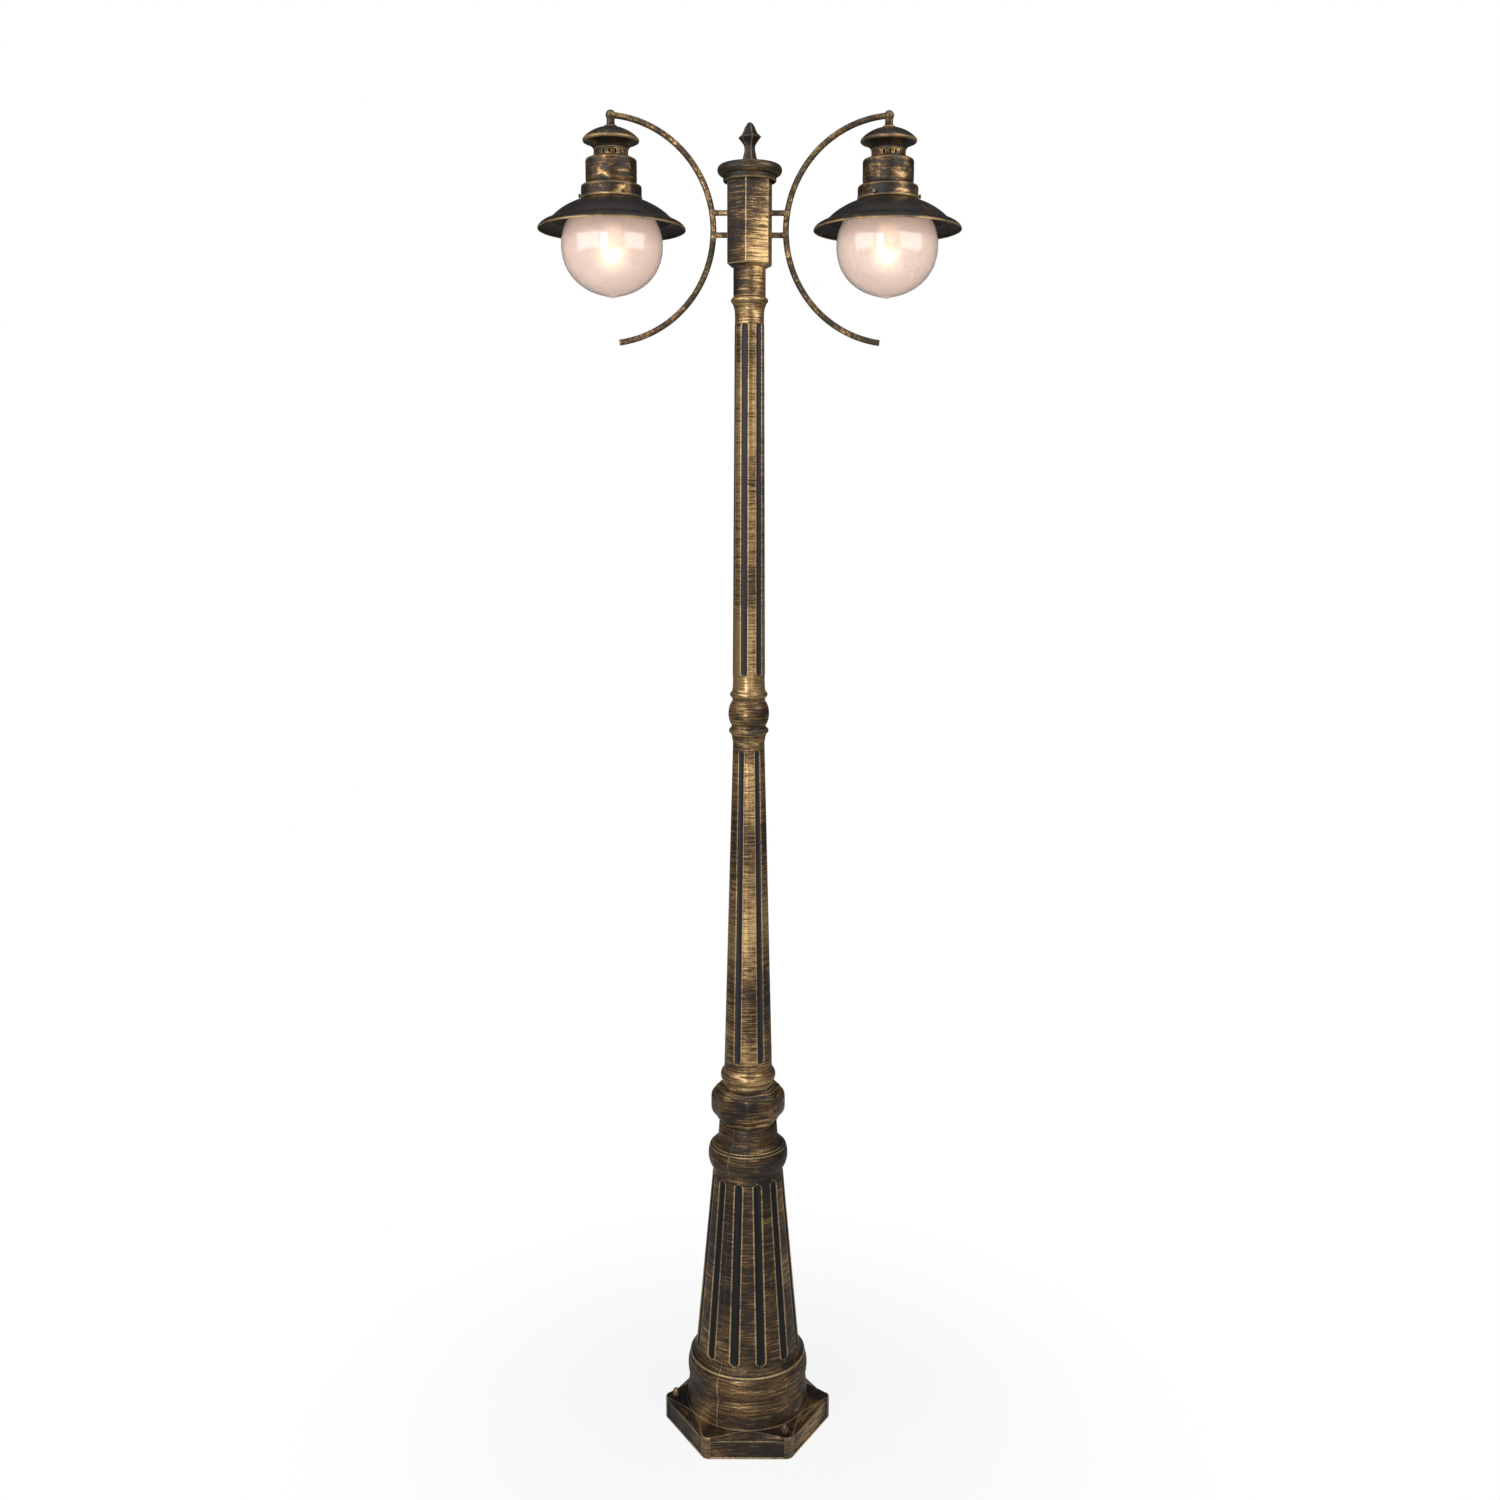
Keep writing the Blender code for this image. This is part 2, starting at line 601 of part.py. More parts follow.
def cap_bridge(shop):
    """Bar across the box that the finial's stud screws into."""
    bridge = shop.add("cap_bridge", box_mesh("cap_bridge", (61.4, 14.0, 6.0), (0, 0, 2197.0)),
                      "steel", turn=BOX_TURN)
    bore = shop.add("bridge_bore", rod_mesh("bridge_bore", (0, 0, 2187), (0, 0, 2207), 4.4, 14),
                    "steel")
    return shop.cut(bridge, bore)


def cap_gasket(shop):
    """Flat seal on the box's rim."""
    low = BOX_TOP + GAP
    high = low + GASKET_THICKNESS
    profile = [(36.6, high), (39.4, high), (39.4, low), (36.6, low)]
    return shop.turned("cap_gasket", profile, "rubber", steps=6, turn=30.0 + BOX_TURN)


def cap(shop):
    """Round cast cap with a rolled rim."""
    seat = BOX_TOP + 2 * GAP + GASKET_THICKNESS
    outer = [(4.6, 2242.5), (13.0, 2242.3), (44.0, 2237.0)]
    outer += arc(45.8, 2228.2, 7.6, 8.0, 76, -62, 5)
    outer += [(44.3, 2219.6), (43.8, 2210.5)]
    inner = [(41.0, 2210.5), (41.0, seat), (30.2, seat), (30.2, 2207.0), (27.4, 2207.0),
             (27.4, 2231.0), (12.0, 2237.5), (4.6, 2237.5)]
    return shop.turned("cap", outer + inner, "bronze", at=(0, 0, seat))


def finial(shop):
    """Six-sided spear finial, bored for its stud."""
    origin = (0, 0, 2242.5 + GAP)
    outer = [(0.0, 2304.0), (4.2, 2302.0), (8.6, 2296.6), (11.0, 2290.8), (13.2, 2286.4),
             (19.7, 2280.4), (15.6, 2275.2), (11.6, 2270.2), (9.4, 2265.6), (9.3, 2260.0),
             (11.2, 2251.6), (12.9, 2245.0), (13.2, 2242.8)]
    inner = [(5.4, 2242.8), (5.4, 2269.0), (0.0, 2269.0)]
    return shop.turned("finial", outer + inner, "bronze", steps=6, at=origin, turn=-16.0, closed=False)


def finial_stud(shop):
    """M8 stud that pulls the finial and the cap down to the bridge."""
    profile = [(0, 2268.0), (4.0, 2268.0), (4.0, 2189.0), (0, 2189.0)]
    return shop.turned("finial_stud", profile, "steel", steps=14, at=(0, 0, 2242.8), closed=False)


# ---------------------------------------------------------------- lanterns

def stem_fitting(shop, name, side):
    """Ball-topped elbow between the arm and the lantern."""
    outer = [(0.0, BALL_HEIGHT + 8.2)]
    outer += arc(0.0, BALL_HEIGHT, 8.2, 8.2, 58, -34, 4)
    outer += [(6.7, 2307.5), (6.7, 2301.5), (8.2, 2298.6), (10.8, 2297.4), (10.8, 2296.3)]
    inner = [(5.3, 2296.3), (5.3, 2305.5), (3.2, 2305.5), (3.2, BALL_HEIGHT), (0.0, BALL_HEIGHT)]
    fitting = shop.turned(name, outer + inner, "bronze", steps=SMALL_STEPS,
                          at=(side * LANTERN_X, 0, 2296.3), closed=False)
    end = arm_point(side, ARM_TOP_ANGLE)
    back = arm_point(side, ARM_TOP_ANGLE + 3.2)
    inward = (end - back).normalized()
    socket = rod_mesh("socket", end - inward * 16, end + inward * 1.6, ARM_TUBE_RADIUS + GAP, 16)
    return shop.cut(fitting, shop.add(name + "_socket", socket, "bronze"))


def hanger_nipple(shop, name, side):
    """Hollow M10 rod that hangs the lantern from its fitting."""
    profile = [(5.0, 2305.0), (5.0, 2200.0), (3.4, 2200.0), (3.4, 2305.0)]
    return shop.turned(name, profile, "steel", steps=SMALL_STEPS, at=(side * LANTERN_X, 0, 2200.0))


def hanger_locknut(shop, name, side):
    profile = [(9.8, 2256.6), (9.8, 2250.6), (6.3, 2250.6), (6.3, 2256.6)]
    return shop.turned(name, profile, "steel", steps=6, at=(side * LANTERN_X, 0, 2250.6))


def hat(shop, name, side):
    """Spun hat: a low cone, a rolled rim and a cove back to the neck."""
    profile = [(5.5, 2296.0), (11.0, 2296.0)]
    profile += bezier((13.0, 2295.6), (27.0, 2292.0), (38.0, 2286.0), (45.2, 2278.0), 4)
    profile += [(46.6, 2275.2), (45.4, 2272.2)]
    profile += bezier((43.0, 2270.8), (35.0, 2268.4), (29.8, 2264.5), (28.6, 2260.0), 3)
    return shop.turned(name, profile, "dark", steps=LANTERN_STEPS, at=(side * LANTERN_X, 0, 2260.0),
                       closed=False, wall=1.5)


def lamp_body(shop, name, side):
    """Vented housing: neck with slots, drum and the wider ring that takes the globe."""
    profile = [(5.5, 2259.6), (28.4, 2259.6), (28.4, 2248.4), (38.5, 2246.0), (42.2, 2241.4),
               (42.2, 2211.0), (40.7, 2208.6), (44.5, 2205.2), (50.0, 2201.4), (50.0, 2186.2),
               (50.8, 2183.8), (50.0, 2181.8)]
    body = shop.turned(name, profile, "bronze", steps=LANTERN_STEPS, at=(side * LANTERN_X, 0, 2181.8),
                       closed=False, wall=1.5)
    slots = []
    for index in range(18):
        slot = box_mesh("slot", (10.0, 3.6, 6.2), (28.0, 0, 2253.2))
        slot.transform(about_z(20.0 * index + 10.0))
        slots.append(slot)
    centre = (side * LANTERN_X, 0, 0)
    shop.cut(body, shop.add(name + "_slots", join_meshes("slots", slots), "bronze", centre))
    return shop.cut(body, screw_ways(shop, name, side, 46.9, 56.0))


def globe_screw_angles(side):
    """Three screws, one on the lantern's outer side."""
    outward = 0.0 if side > 0 else 180.0
    return [outward + 120.0 * index for index in range(3)]


def screw_ways(shop, name, side, inner, outer):
    ways = []
    for angle in globe_screw_angles(side):
        direction = about_z(angle) @ Vector((1, 0, 0))
        lift = Vector((0, 0, GLOBE_SCREW_HEIGHT))
        ways.append(rod_mesh("way", direction * inner + lift, direction * outer + lift, 2.4, 10))
    return shop.add(name + "_screw_ways", join_meshes("ways", ways), "bronze",
                    (side * LANTERN_X, 0, 0))


def shade(shop, name, side):
    """Spun shade: a collar inside the ring, a dome and a flared brim."""
    profile = [(47.0, 2197.0), (47.0, 2181.2), (51.5, 2180.4)]
    profile += bezier((56.0, 2178.2), (76.0, 2171.6), (92.0, 2160.0), (101.0, 2149.6), 4)
    profile += bezier((104.5, 2147.4), (113.0, 2145.4), (120.0, 2141.0), (122.4, 2135.6), 3)
    profile += [(122.4, 2133.2)]
    cover = shop.turned(name, profile, "dark", at=(side * LANTERN_X, 0, 2133.2),
                        closed=False, wall=1.3)
    return shop.cut(cover, screw_ways(shop, name, side, 45.0, 49.0))


def globe(shop, name, side):
    """Onion-shaped globe with a plain neck and a small point."""
    profile = [(44.0, 2196.0), (44.0, 2179.0)]
    profile += bezier((46.0, 2174.0), (66.0, 2163.0), (81.0, 2145.0), (83.8, 2117.0), 4)
    profile += bezier((84.0, 2105.0), (83.4, 2065.0), (57.0, 2041.0), (24.0, 2031.2), 5)
    profile += [(0.0, 2024.6)]
    return shop.turned(name, profile, "globe", steps=LANTERN_STEPS, at=(side * LANTERN_X, 0, 2179.0),
                       closed=False, wall=2.2)


def globe_screws(shop, name, side):
    """Three thumb screws through the ring and the shade's collar."""
    tip = 44.4
    profile = [(0, 54.6), (3.6, 54.0), (3.6, 51.2), (2.0, 51.2), (2.0, tip), (0, tip)]
    screw = shop.turned("screw", profile, "brass", steps=10, closed=False)
    tilt = Matrix.Rotation(math.radians(90), 4, "Y")
    place = Matrix.Translation((side * LANTERN_X * MM, 0, GLOBE_SCREW_HEIGHT * MM))
    matrices = [place @ about_z(angle) @ tilt for angle in globe_screw_angles(side)]
    shop.copies([name + "_" + str(index) for index in (1, 2, 3)], screw, matrices, "brass")


def lamp_holder(shop, name, side):
    """Ceramic screw holder, threaded onto the hanger rod."""
    profile = [(5.4, 2208.0), (9.5, 2208.0), (9.5, 2202.0), (17.0, 2197.0), (19.5, 2191.0),
               (19.5, 2147.0), (18.4, 2145.0), (14.2, 2145.0), (14.2, 2174.0), (3.4, 2174.0),
               (3.4, 2199.4), (5.4, 2199.4)]
    return shop.turned(name, profile, "ceramic", steps=SMALL_STEPS, at=(side * LANTERN_X, 0, 2174.0))


def bulb_cap(shop, name, side):
    profile = [(0, 2173.0), (4.5, 2173.0), (5.0, 2170.4), (12.4, 2168.0), (13.4, 2165.8),
               (13.4, 2143.0), (0, 2143.0)]
    return shop.turned(name, profile, "brass", steps=SMALL_STEPS, at=(side * LANTERN_X, 0, 2107.0),
                       closed=False)


def bulb_glass(shop, name, side):
    profile = bezier((13.4, 2142.6), (16.0, 2129.0), (26.0, 2119.0), (29.4, 2103.0), 4)
    profile += arc(0.0, 2095.5, 30.0, 30.0, 2, -60, 4) + [(0.0, 2065.5)]
    return shop.turned(name, profile, "glass", steps=SMALL_STEPS, at=(side * LANTERN_X, 0, 2107.0),
                       closed=False, wall=1.0)


def lantern(shop, word, side):
    stem_fitting(shop, "stem_fitting_" + word, side)
    hanger_nipple(shop, "hanger_nipple_" + word, side)
    hanger_locknut(shop, "hanger_locknut_" + word, side)
    hat(shop, "hat_" + word, side)
    lamp_body(shop, "lamp_body_" + word, side)
    shade(shop, "shade_" + word, side)
    globe(shop, "globe_" + word, side)
    globe_screws(shop, "globe_screw_" + word, side)
    lamp_holder(shop, "lamp_holder_" + word, side)
    bulb_cap(shop, "bulb_cap_" + word, side)
    bulb_glass(shop, "bulb_glass_" + word, side)


# ---------------------------------------------------------------- assembly

def main():
    clear_scene()
    shop = Shop()
    base_casting(shop)
    anchors(shop)
    base_collar(shop)
    pipe(shop, "base_nipple", 30.0, 26.5, 528.0, 729.0)
    lower_pole(shop)
    mid_coupling(shop)
    pipe(shop, "pole_nipple", 19.2, 16.0, 1244.0, 1408.0)
    upper_pole(shop)
    head_spigot(shop)
    cable_grommet(shop)
    head_box(shop)
    swivel_screws(shop)
    gear_plate(shop)
    terminal_block(shop)
    cap_bridge(shop)
    cap_gasket(shop)
    cap(shop)
    finial(shop)
    finial_stud(shop)
    for word, side in (("left", -1), ("right", 1)):
        arm(shop, "arm_" + word, side)
        arm_plug(shop, "arm_plug_" + word, side)
        spacer(shop, "upper_spacer_" + word, side, SPACER_HEIGHTS[0], True)
        spacer(shop, "lower_spacer_" + word, side, SPACER_HEIGHTS[1], False)
        lantern(shop, word, side)


main()
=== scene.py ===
"""Looks for the two-lantern lamp post: brushed bronze castings, spun lanterns and tinted globes.

Sizes are written in millimetres and turned into metres where a mesh is made.
"""

import json
import math

import bmesh
import bpy
from mathutils import Matrix, Vector

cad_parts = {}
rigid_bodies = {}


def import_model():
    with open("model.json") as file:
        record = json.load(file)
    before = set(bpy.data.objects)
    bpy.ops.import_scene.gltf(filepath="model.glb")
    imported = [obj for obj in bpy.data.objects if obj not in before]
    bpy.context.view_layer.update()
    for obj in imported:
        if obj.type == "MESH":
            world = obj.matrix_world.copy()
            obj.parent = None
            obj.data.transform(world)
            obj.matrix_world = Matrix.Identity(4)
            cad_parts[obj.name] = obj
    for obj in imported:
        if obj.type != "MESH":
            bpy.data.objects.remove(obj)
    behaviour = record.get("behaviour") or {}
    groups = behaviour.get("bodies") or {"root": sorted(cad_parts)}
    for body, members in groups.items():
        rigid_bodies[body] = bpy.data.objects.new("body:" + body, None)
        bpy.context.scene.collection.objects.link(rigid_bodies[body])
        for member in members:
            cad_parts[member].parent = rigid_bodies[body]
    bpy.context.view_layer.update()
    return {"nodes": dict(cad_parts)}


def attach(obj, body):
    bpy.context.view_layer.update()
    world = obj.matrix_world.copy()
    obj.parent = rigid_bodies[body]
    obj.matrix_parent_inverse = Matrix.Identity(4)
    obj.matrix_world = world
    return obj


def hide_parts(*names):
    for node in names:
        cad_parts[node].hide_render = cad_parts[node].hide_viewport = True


MM = 0.001
DOUBLE = 0.000002              # points closer than this are one, in metres
EASE = 0.9                     # how far the rounding of a cast edge reaches
SHARP_TURN = 24.0              # degrees; a profile that turns less isn't rounded
EASE_STEPS = 3
PROUD_BEND = (0.034, 0.24)     # bend, in 1/mm, where rubbing starts and is full
# SUNK_BEND: bend, in 1/mm, where a hollow starts to take painted shade and takes it fully.
SUNK_BEND = (0.03, 0.3)

FOOT_CORNER = 154.5
FOOT_ROUNDING = 14.5
FOOT_APOTHEM = FOOT_CORNER * math.cos(math.radians(30))
PLATE_TOP = 41.2
STUD_CIRCLE = 133.4
PANEL_EDGE = 65.9              # the panel's last upright, in from the corner post
PANEL_HALF_WIDTH = 66.4
POST_EDGE = 67.3               # where the corner post's own flat starts
PANEL_FACE = FOOT_APOTHEM - 1.7
PANEL_TOP = 33.5
PANEL_LOW = 3.6
SCOOP_SHARES = (0.0, 0.1, 0.5, 0.86, 0.95, 1.0)
FACE_POINTS = 8                # points up a panel or a post, below the scoop
TOP_POINTS = 6                 # points from the scoop over the pad and down the bore
POST_LIP = 1.6
POST_RUB = 0.2                 # how rubbed the corner posts are, from 0 to 1
FOOT_HOLLOW = 119.9
SKIRT_RADIUS = 112.4
BASE_TOP = 585.5
COLLAR_TOP = 657.0
LOWER_POLE_TOP = 1279.5
COUPLING_TOP = 1372.0
UPPER_POLE_TOP = 2004.0
SLEEVE_BOTTOM = 2027.2
BOX_BOTTOM = 2079.0
BOX_TOP = 2212.0
BOX_CORNER = 39.9
BOX_TURN = 21.0                # degrees of the box's first corner
CAP_BOTTOM = 2210.5
LANTERN_X = 228.0
ARM_CENTRE = (242.0, 2133.5)
ARM_RADIUS = 182.0
ARM_TUBE = 5.0
ARM_BORE = 3.8
ARM_ANGLES = (95.7, 262.2)
SPACER_HEIGHTS = (2161.4, 2126.2)
SPACER_RADIUS = 4.5
BALL_HEIGHT = 2315.0
SCREW_HEIGHT = 2188.0
BULB_HEIGHT = 2095.5
GLOBE_WALL = 2.2
VENT_SLOTS = 18
SCREW_CIRCLE = 51.2
KNURL_TURNS = 24

ROUND_STEPS = 96
LANTERN_STEPS = 108
WIDE_STEPS = 144
SMALL_STEPS = 40
ARM_STEPS = 96

# Hollow colours: the black paint left in hollows, darkened further as painted shade.
SHADED_HOLLOW_BLACK = (0.0035, 0.0035, 0.0045)
SHADED_FLUTE_BLACK = (0.022, 0.020, 0.024)
SOOT = (0.011, 0.009, 0.008)
UMBER = (0.042, 0.025, 0.013)
BRONZE = (0.20, 0.118, 0.050)
GOLD = (0.68, 0.45, 0.205)
RUBBED_GOLD = (0.80, 0.57, 0.29)

CAMERA_PLACE = (0.0, -2.611, 1.6768)
CAMERA_TILT = 9.0              # degrees down
CAMERA_TURN = 0.00085
CAMERA_ROLL = 0.11
FLOOR_REACH = 30.0


# ---------------------------------------------------------------- outlines

def arc(radius, height, reach, rise, start, end, count):
    """Points on an ellipse's arc about (radius, height), angles in degrees."""
    points = []
    for index in range(count):
        angle = math.radians(start + (end - start) * index / (count - 1))
        points.append((radius + reach * math.cos(angle), height + rise * math.sin(angle)))
    return points


def bezier(first, second, third, fourth, count):
    """Points on a cubic curve through first and fourth."""
    points = []
    for index in range(count):
        t = index / (count - 1)
        s = 1.0 - t
        weights = (s ** 3, 3 * s * s * t, 3 * s * t * t, t ** 3)
        corners = (first, second, third, fourth)
        points.append(tuple(sum(w * c[axis] for w, c in zip(weights, corners)) for axis in (0, 1)))
    return points


def eased(profile, reach=EASE, closed=True):
    """The profile with its sharp corners rounded and a point beside each that keeps it local."""
    smooth = []
    count = len(profile)
    for index, corner in enumerate(profile):
        here = Vector(corner)
        back = Vector(profile[index - 1]) - here
        ahead = Vector(profile[(index + 1) % count]) - here
        at_end = not closed and index in (0, count - 1)
        if at_end or math.pi - back.angle(ahead) < math.radians(SHARP_TURN):
            smooth.append(tuple(here))
            continue
        start = here + back.normalized() * min(reach, back.length * 0.33)
        end = here + ahead.normalized() * min(reach, ahead.length * 0.33)
        if back.length > 6 * reach:
            smooth.append(tuple(here + back.normalized() * 2.2 * reach))
        for step in range(EASE_STEPS + 1):
            t = step / EASE_STEPS
            smooth.append(tuple(start.lerp(here, t).lerp(here.lerp(end, t), t)))
        if ahead.length > 6 * reach:
            smooth.append(tuple(here + ahead.normalized() * 2.2 * reach))
    return smooth


def walled(profile, wall):
    """A closed loop round a thin spun wall, whose outer skin runs from the top down."""
    inner = []
    last = len(profile) - 1
    for index, point in enumerate(profile):
        before = Vector(profile[max(index - 1, 0)])
        after = Vector(profile[min(index + 1, last)])
        along = (after - before).normalized()
        inner.append((max(point[0] + along.y * wall, 0.0), point[1] - along.x * wall))
    return profile + inner[::-1]


def polygon(corners, radius, rounding, turn):
    """(x, y) points on a polygon with rounded corners; radius reaches its unrounded corners."""
    half = math.pi / corners
    centre = radius - rounding / math.cos(half)
    groups = []
    for corner in range(corners):
        middle = math.radians(turn) + 2 * half * corner
        group = []
        for index in range(7):
            angle = middle - half + 2 * half * index / 6
            group.append(Vector((centre * math.cos(middle) + rounding * math.cos(angle),
                                 centre * math.sin(middle) + rounding * math.sin(angle))))
        groups.append(group)
    points = []
    for group, following in zip(groups, groups[1:] + groups[:1]):
        points += group
        points += [group[-1].lerp(following[0], share) for share in (0.06, 0.5, 0.94)]
    return points


# ---------------------------------------------------------------- skins

def smooth_step(value, low, high):
    """0 below low, 1 above high and an even curve between them."""
    share = min(max((value - low) / (high - low), 0.0), 1.0)
    return share * share * (3 - 2 * share)


def note_wear_and_shade(bm):
    """Stores how proud each point of the skin is, for rubbed gold, and how sunk, for the black and
    painted shade in hollows, from the skin's bend there.
    """
    rub = bm.verts.layers.float.get("rub") or bm.verts.layers.float.new("rub")
    sunk = bm.verts.layers.float.get("sunk") or bm.verts.layers.float.new("sunk")
    for vert in bm.verts:
        area = sum(face.calc_area() / len(face.verts) for face in vert.link_faces)
        if area <= 0.0:
            continue
        bend = sum(edge.calc_face_angle_signed(0.0) * edge.calc_length() for edge in vert.link_edges)
        bend = bend * MM / (4 * area)
        vert[rub] = max(vert[rub], smooth_step(bend, *PROUD_BEND) * (1.0 - vert[sunk]))
        vert[sunk] = max(vert[sunk], smooth_step(-bend, *SUNK_BEND))


def finish_mesh(name, bm):
    """The skin as a smooth-shaded mesh, closed, facing outwards and with its wear and its hollows for
    painted shade noted.
    """
    bmesh.ops.remove_doubles(bm, verts=bm.verts, dist=DOUBLE)
    bmesh.ops.recalc_face_normals(bm, faces=bm.faces)
    note_wear_and_shade(bm)
    mesh = bpy.data.meshes.new(name)
    bm.to_mesh(mesh)
    bm.free()
    mesh.shade_smooth()
    mesh.set_sharp_from_angle(angle=math.radians(50))
    return mesh


def shell(name, rings, closed=True):
    """A skin through rings of equally many points; closed joins the last ring to the first.

    After x, y and z a point may say how sunk it is and how rubbed, both from 0 to 1.
    """
    bm = bmesh.new()
    sunk = bm.verts.layers.float.new("sunk")
    rub = bm.verts.layers.float.new("rub")
    rows = []
    for ring in rings:
        row = []
        for point in ring:
            vert = bm.verts.new(Vector(point[:3]) * MM)
            vert[sunk] = point[3] if len(point) > 3 else 0.0
            vert[rub] = point[4] if len(point) > 4 else 0.0
            row.append(vert)
        rows.append(row)
    followers = rows[1:] + rows[:1] if closed else rows[1:]
    for row, following in zip(rows, followers):
        for index in range(len(row)):
            after = (index + 1) % len(row)
            bm.faces.new((row[index], row[after], following[after], following[index]))
    return finish_mesh(name, bm)


def turned(name, profile, steps=ROUND_STEPS, closed=True, centre=0.0):
    """The profile turned about the vertical axis at x = centre."""
    turns = [2 * math.pi * index / steps for index in range(steps)]
    rings = [[(centre + radius * math.cos(turn), radius * math.sin(turn), height) for turn in turns]
             for radius, height in profile]
    return shell(name, rings, closed)


def many_sided(name, profile, corners, rounding, turn, closed=True):
    """A profile carried round a polygon; rounding is a share of the radius."""
    rings = []
    for radius, height in profile:
        plan = polygon(corners, max(radius, 0.0001), max(radius, 0.0001) * rounding, turn)
        rings.append([(point.x, point.y, height) for point in plan])
    return shell(name, rings, closed)


def joined(name, meshes):
    """One mesh of several."""
    bm = bmesh.new()
    for mesh in meshes:
        bm.from_mesh(mesh)
        bpy.data.meshes.remove(mesh)
    whole = bpy.data.meshes.new(name)
    bm.to_mesh(whole)
    bm.free()
    return whole


def rod(start, end, radius, sides=24):
    """A plain round cutter."""
    start = Vector(start) * MM
    end = Vector(end) * MM
    axis = end - start
    matrix = Matrix.Translation((start + end) / 2) @ axis.to_track_quat("Z", "Y").to_matrix().to_4x4()
    bm = bmesh.new()
    bmesh.ops.create_cone(bm, cap_ends=True, segments=sides, radius1=radius * MM,
                          radius2=radius * MM, depth=axis.length, matrix=matrix)
    mesh = bpy.data.meshes.new("rod")
    bm.to_mesh(mesh)
    bm.free()
    return mesh


def bored(mesh, cutter):
    """The mesh with the cutter's shape taken away."""
    scene = bpy.context.scene
    work = bpy.data.objects.new("work", mesh)
    tool = bpy.data.objects.new("tool", cutter)
    scene.collection.objects.link(work)
    scene.collection.objects.link(tool)
    boolean = work.modifiers.new("Bore", "BOOLEAN")
    boolean.object = tool
    boolean.solver = "EXACT"
    bpy.context.view_layer.update()
    graph = bpy.context.evaluated_depsgraph_get()
    bm = bmesh.new()
    bm.from_mesh(work.evaluated_get(graph).to_mesh())
    bpy.data.objects.remove(work)
    bpy.data.objects.remove(tool)
    bmesh.ops.dissolve_degenerate(bm, dist=DOUBLE, edges=bm.edges)
    return finish_mesh(mesh.name, bm)


def put(name, mesh, material, body, stands_for=()):
    """Makes a finished piece that rides on a body and stands for CAD nodes."""
    piece = bpy.data.objects.new(name, mesh)
    bpy.context.scene.collection.objects.link(piece)
    mesh.materials.clear()
    mesh.materials.append(material)
    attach(piece, body)
    if stands_for:
        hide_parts(*stands_for)
    return piece


# ---------------------------------------------------------------- repeats

def ring_tree():
    """Copies of a piece set evenly about the vertical axis, each turned to face outwards."""
    tree = bpy.data.node_groups.new("set_about_axis", "GeometryNodeTree")
    face = tree.interface
    face.new_socket("Geometry", in_out="INPUT", socket_type="NodeSocketGeometry")
    face.new_socket("Piece", in_out="INPUT", socket_type="NodeSocketObject")
    face.new_socket("Count", in_out="INPUT", socket_type="NodeSocketInt")
    face.new_socket("Circle Radius", in_out="INPUT", socket_type="NodeSocketFloat")
    face.new_socket("First Angle", in_out="INPUT", socket_type="NodeSocketFloat")
    face.new_socket("Finish", in_out="INPUT", socket_type="NodeSocketMaterial")
    face.new_socket("Geometry", in_out="OUTPUT", socket_type="NodeSocketGeometry")
    nodes = tree.nodes
    links = tree.links
    given = nodes.new("NodeGroupInput")
    circle = nodes.new("GeometryNodeMeshCircle")
    links.new(given.outputs["Count"], circle.inputs["Vertices"])
    links.new(given.outputs["Circle Radius"], circle.inputs["Radius"])
    first = nodes.new("ShaderNodeCombineXYZ")
    links.new(given.outputs["First Angle"], first.inputs["Z"])
    swing = nodes.new("GeometryNodeTransform")
    links.new(circle.outputs["Mesh"], swing.inputs["Geometry"])
    links.new(first.outputs["Vector"], swing.inputs["Rotation"])
    place = nodes.new("GeometryNodeInputPosition")
    parts = nodes.new("ShaderNodeSeparateXYZ")
    links.new(place.outputs["Position"], parts.inputs["Vector"])
    facing = nodes.new("ShaderNodeMath")
    facing.operation = "ARCTAN2"
    links.new(parts.outputs["Y"], facing.inputs[0])
    links.new(parts.outputs["X"], facing.inputs[1])
    turn = nodes.new("ShaderNodeCombineXYZ")
    links.new(facing.outputs["Value"], turn.inputs["Z"])
    piece = nodes.new("GeometryNodeObjectInfo")
    links.new(given.outputs["Piece"], piece.inputs["Object"])
    copies = nodes.new("GeometryNodeInstanceOnPoints")
    links.new(swing.outputs["Geometry"], copies.inputs["Points"])
    links.new(piece.outputs["Geometry"], copies.inputs["Instance"])
    links.new(turn.outputs["Vector"], copies.inputs["Rotation"])
    real = nodes.new("GeometryNodeRealizeInstances")
    links.new(copies.outputs["Instances"], real.inputs["Geometry"])
    finish = nodes.new("GeometryNodeSetMaterial")
    links.new(real.outputs["Geometry"], finish.inputs["Geometry"])
    links.new(given.outputs["Finish"], finish.inputs["Material"])
    result = nodes.new("NodeGroupOutput")
    links.new(finish.outputs["Geometry"], result.inputs["Geometry"])
    return tree


def set_about(tree, name, pattern, count, circle_radius, first_angle, material, centre=0.0):
    """A mesh of the pattern's copies about the axis at x = centre."""
    sample = bpy.data.objects.new("sample", pattern)
    holder = bpy.data.objects.new("holder", bpy.data.meshes.new("holder"))
    for obj in (sample, holder):
        bpy.context.scene.collection.objects.link(obj)
    modifier = holder.modifiers.new("Repeat", "NODES")
    modifier.node_group = tree
    values = {"Piece": sample, "Count": count, "Circle Radius": circle_radius * MM,
              "First Angle": math.radians(first_angle), "Finish": material}
    for socket in tree.interface.items_tree:
        if socket.in_out == "INPUT" and socket.name in values:
            modifier[socket.identifier] = values[socket.name]
    bpy.context.view_layer.update()
    graph = bpy.context.evaluated_depsgraph_get()
    mesh = bpy.data.meshes.new_from_object(holder.evaluated_get(graph))
    bpy.data.objects.remove(holder)
    bpy.data.objects.remove(sample)
    mesh.name = name
    mesh.transform(Matrix.Translation((centre * MM, 0, 0)))
    return mesh


# ---------------------------------------------------------------- finishes

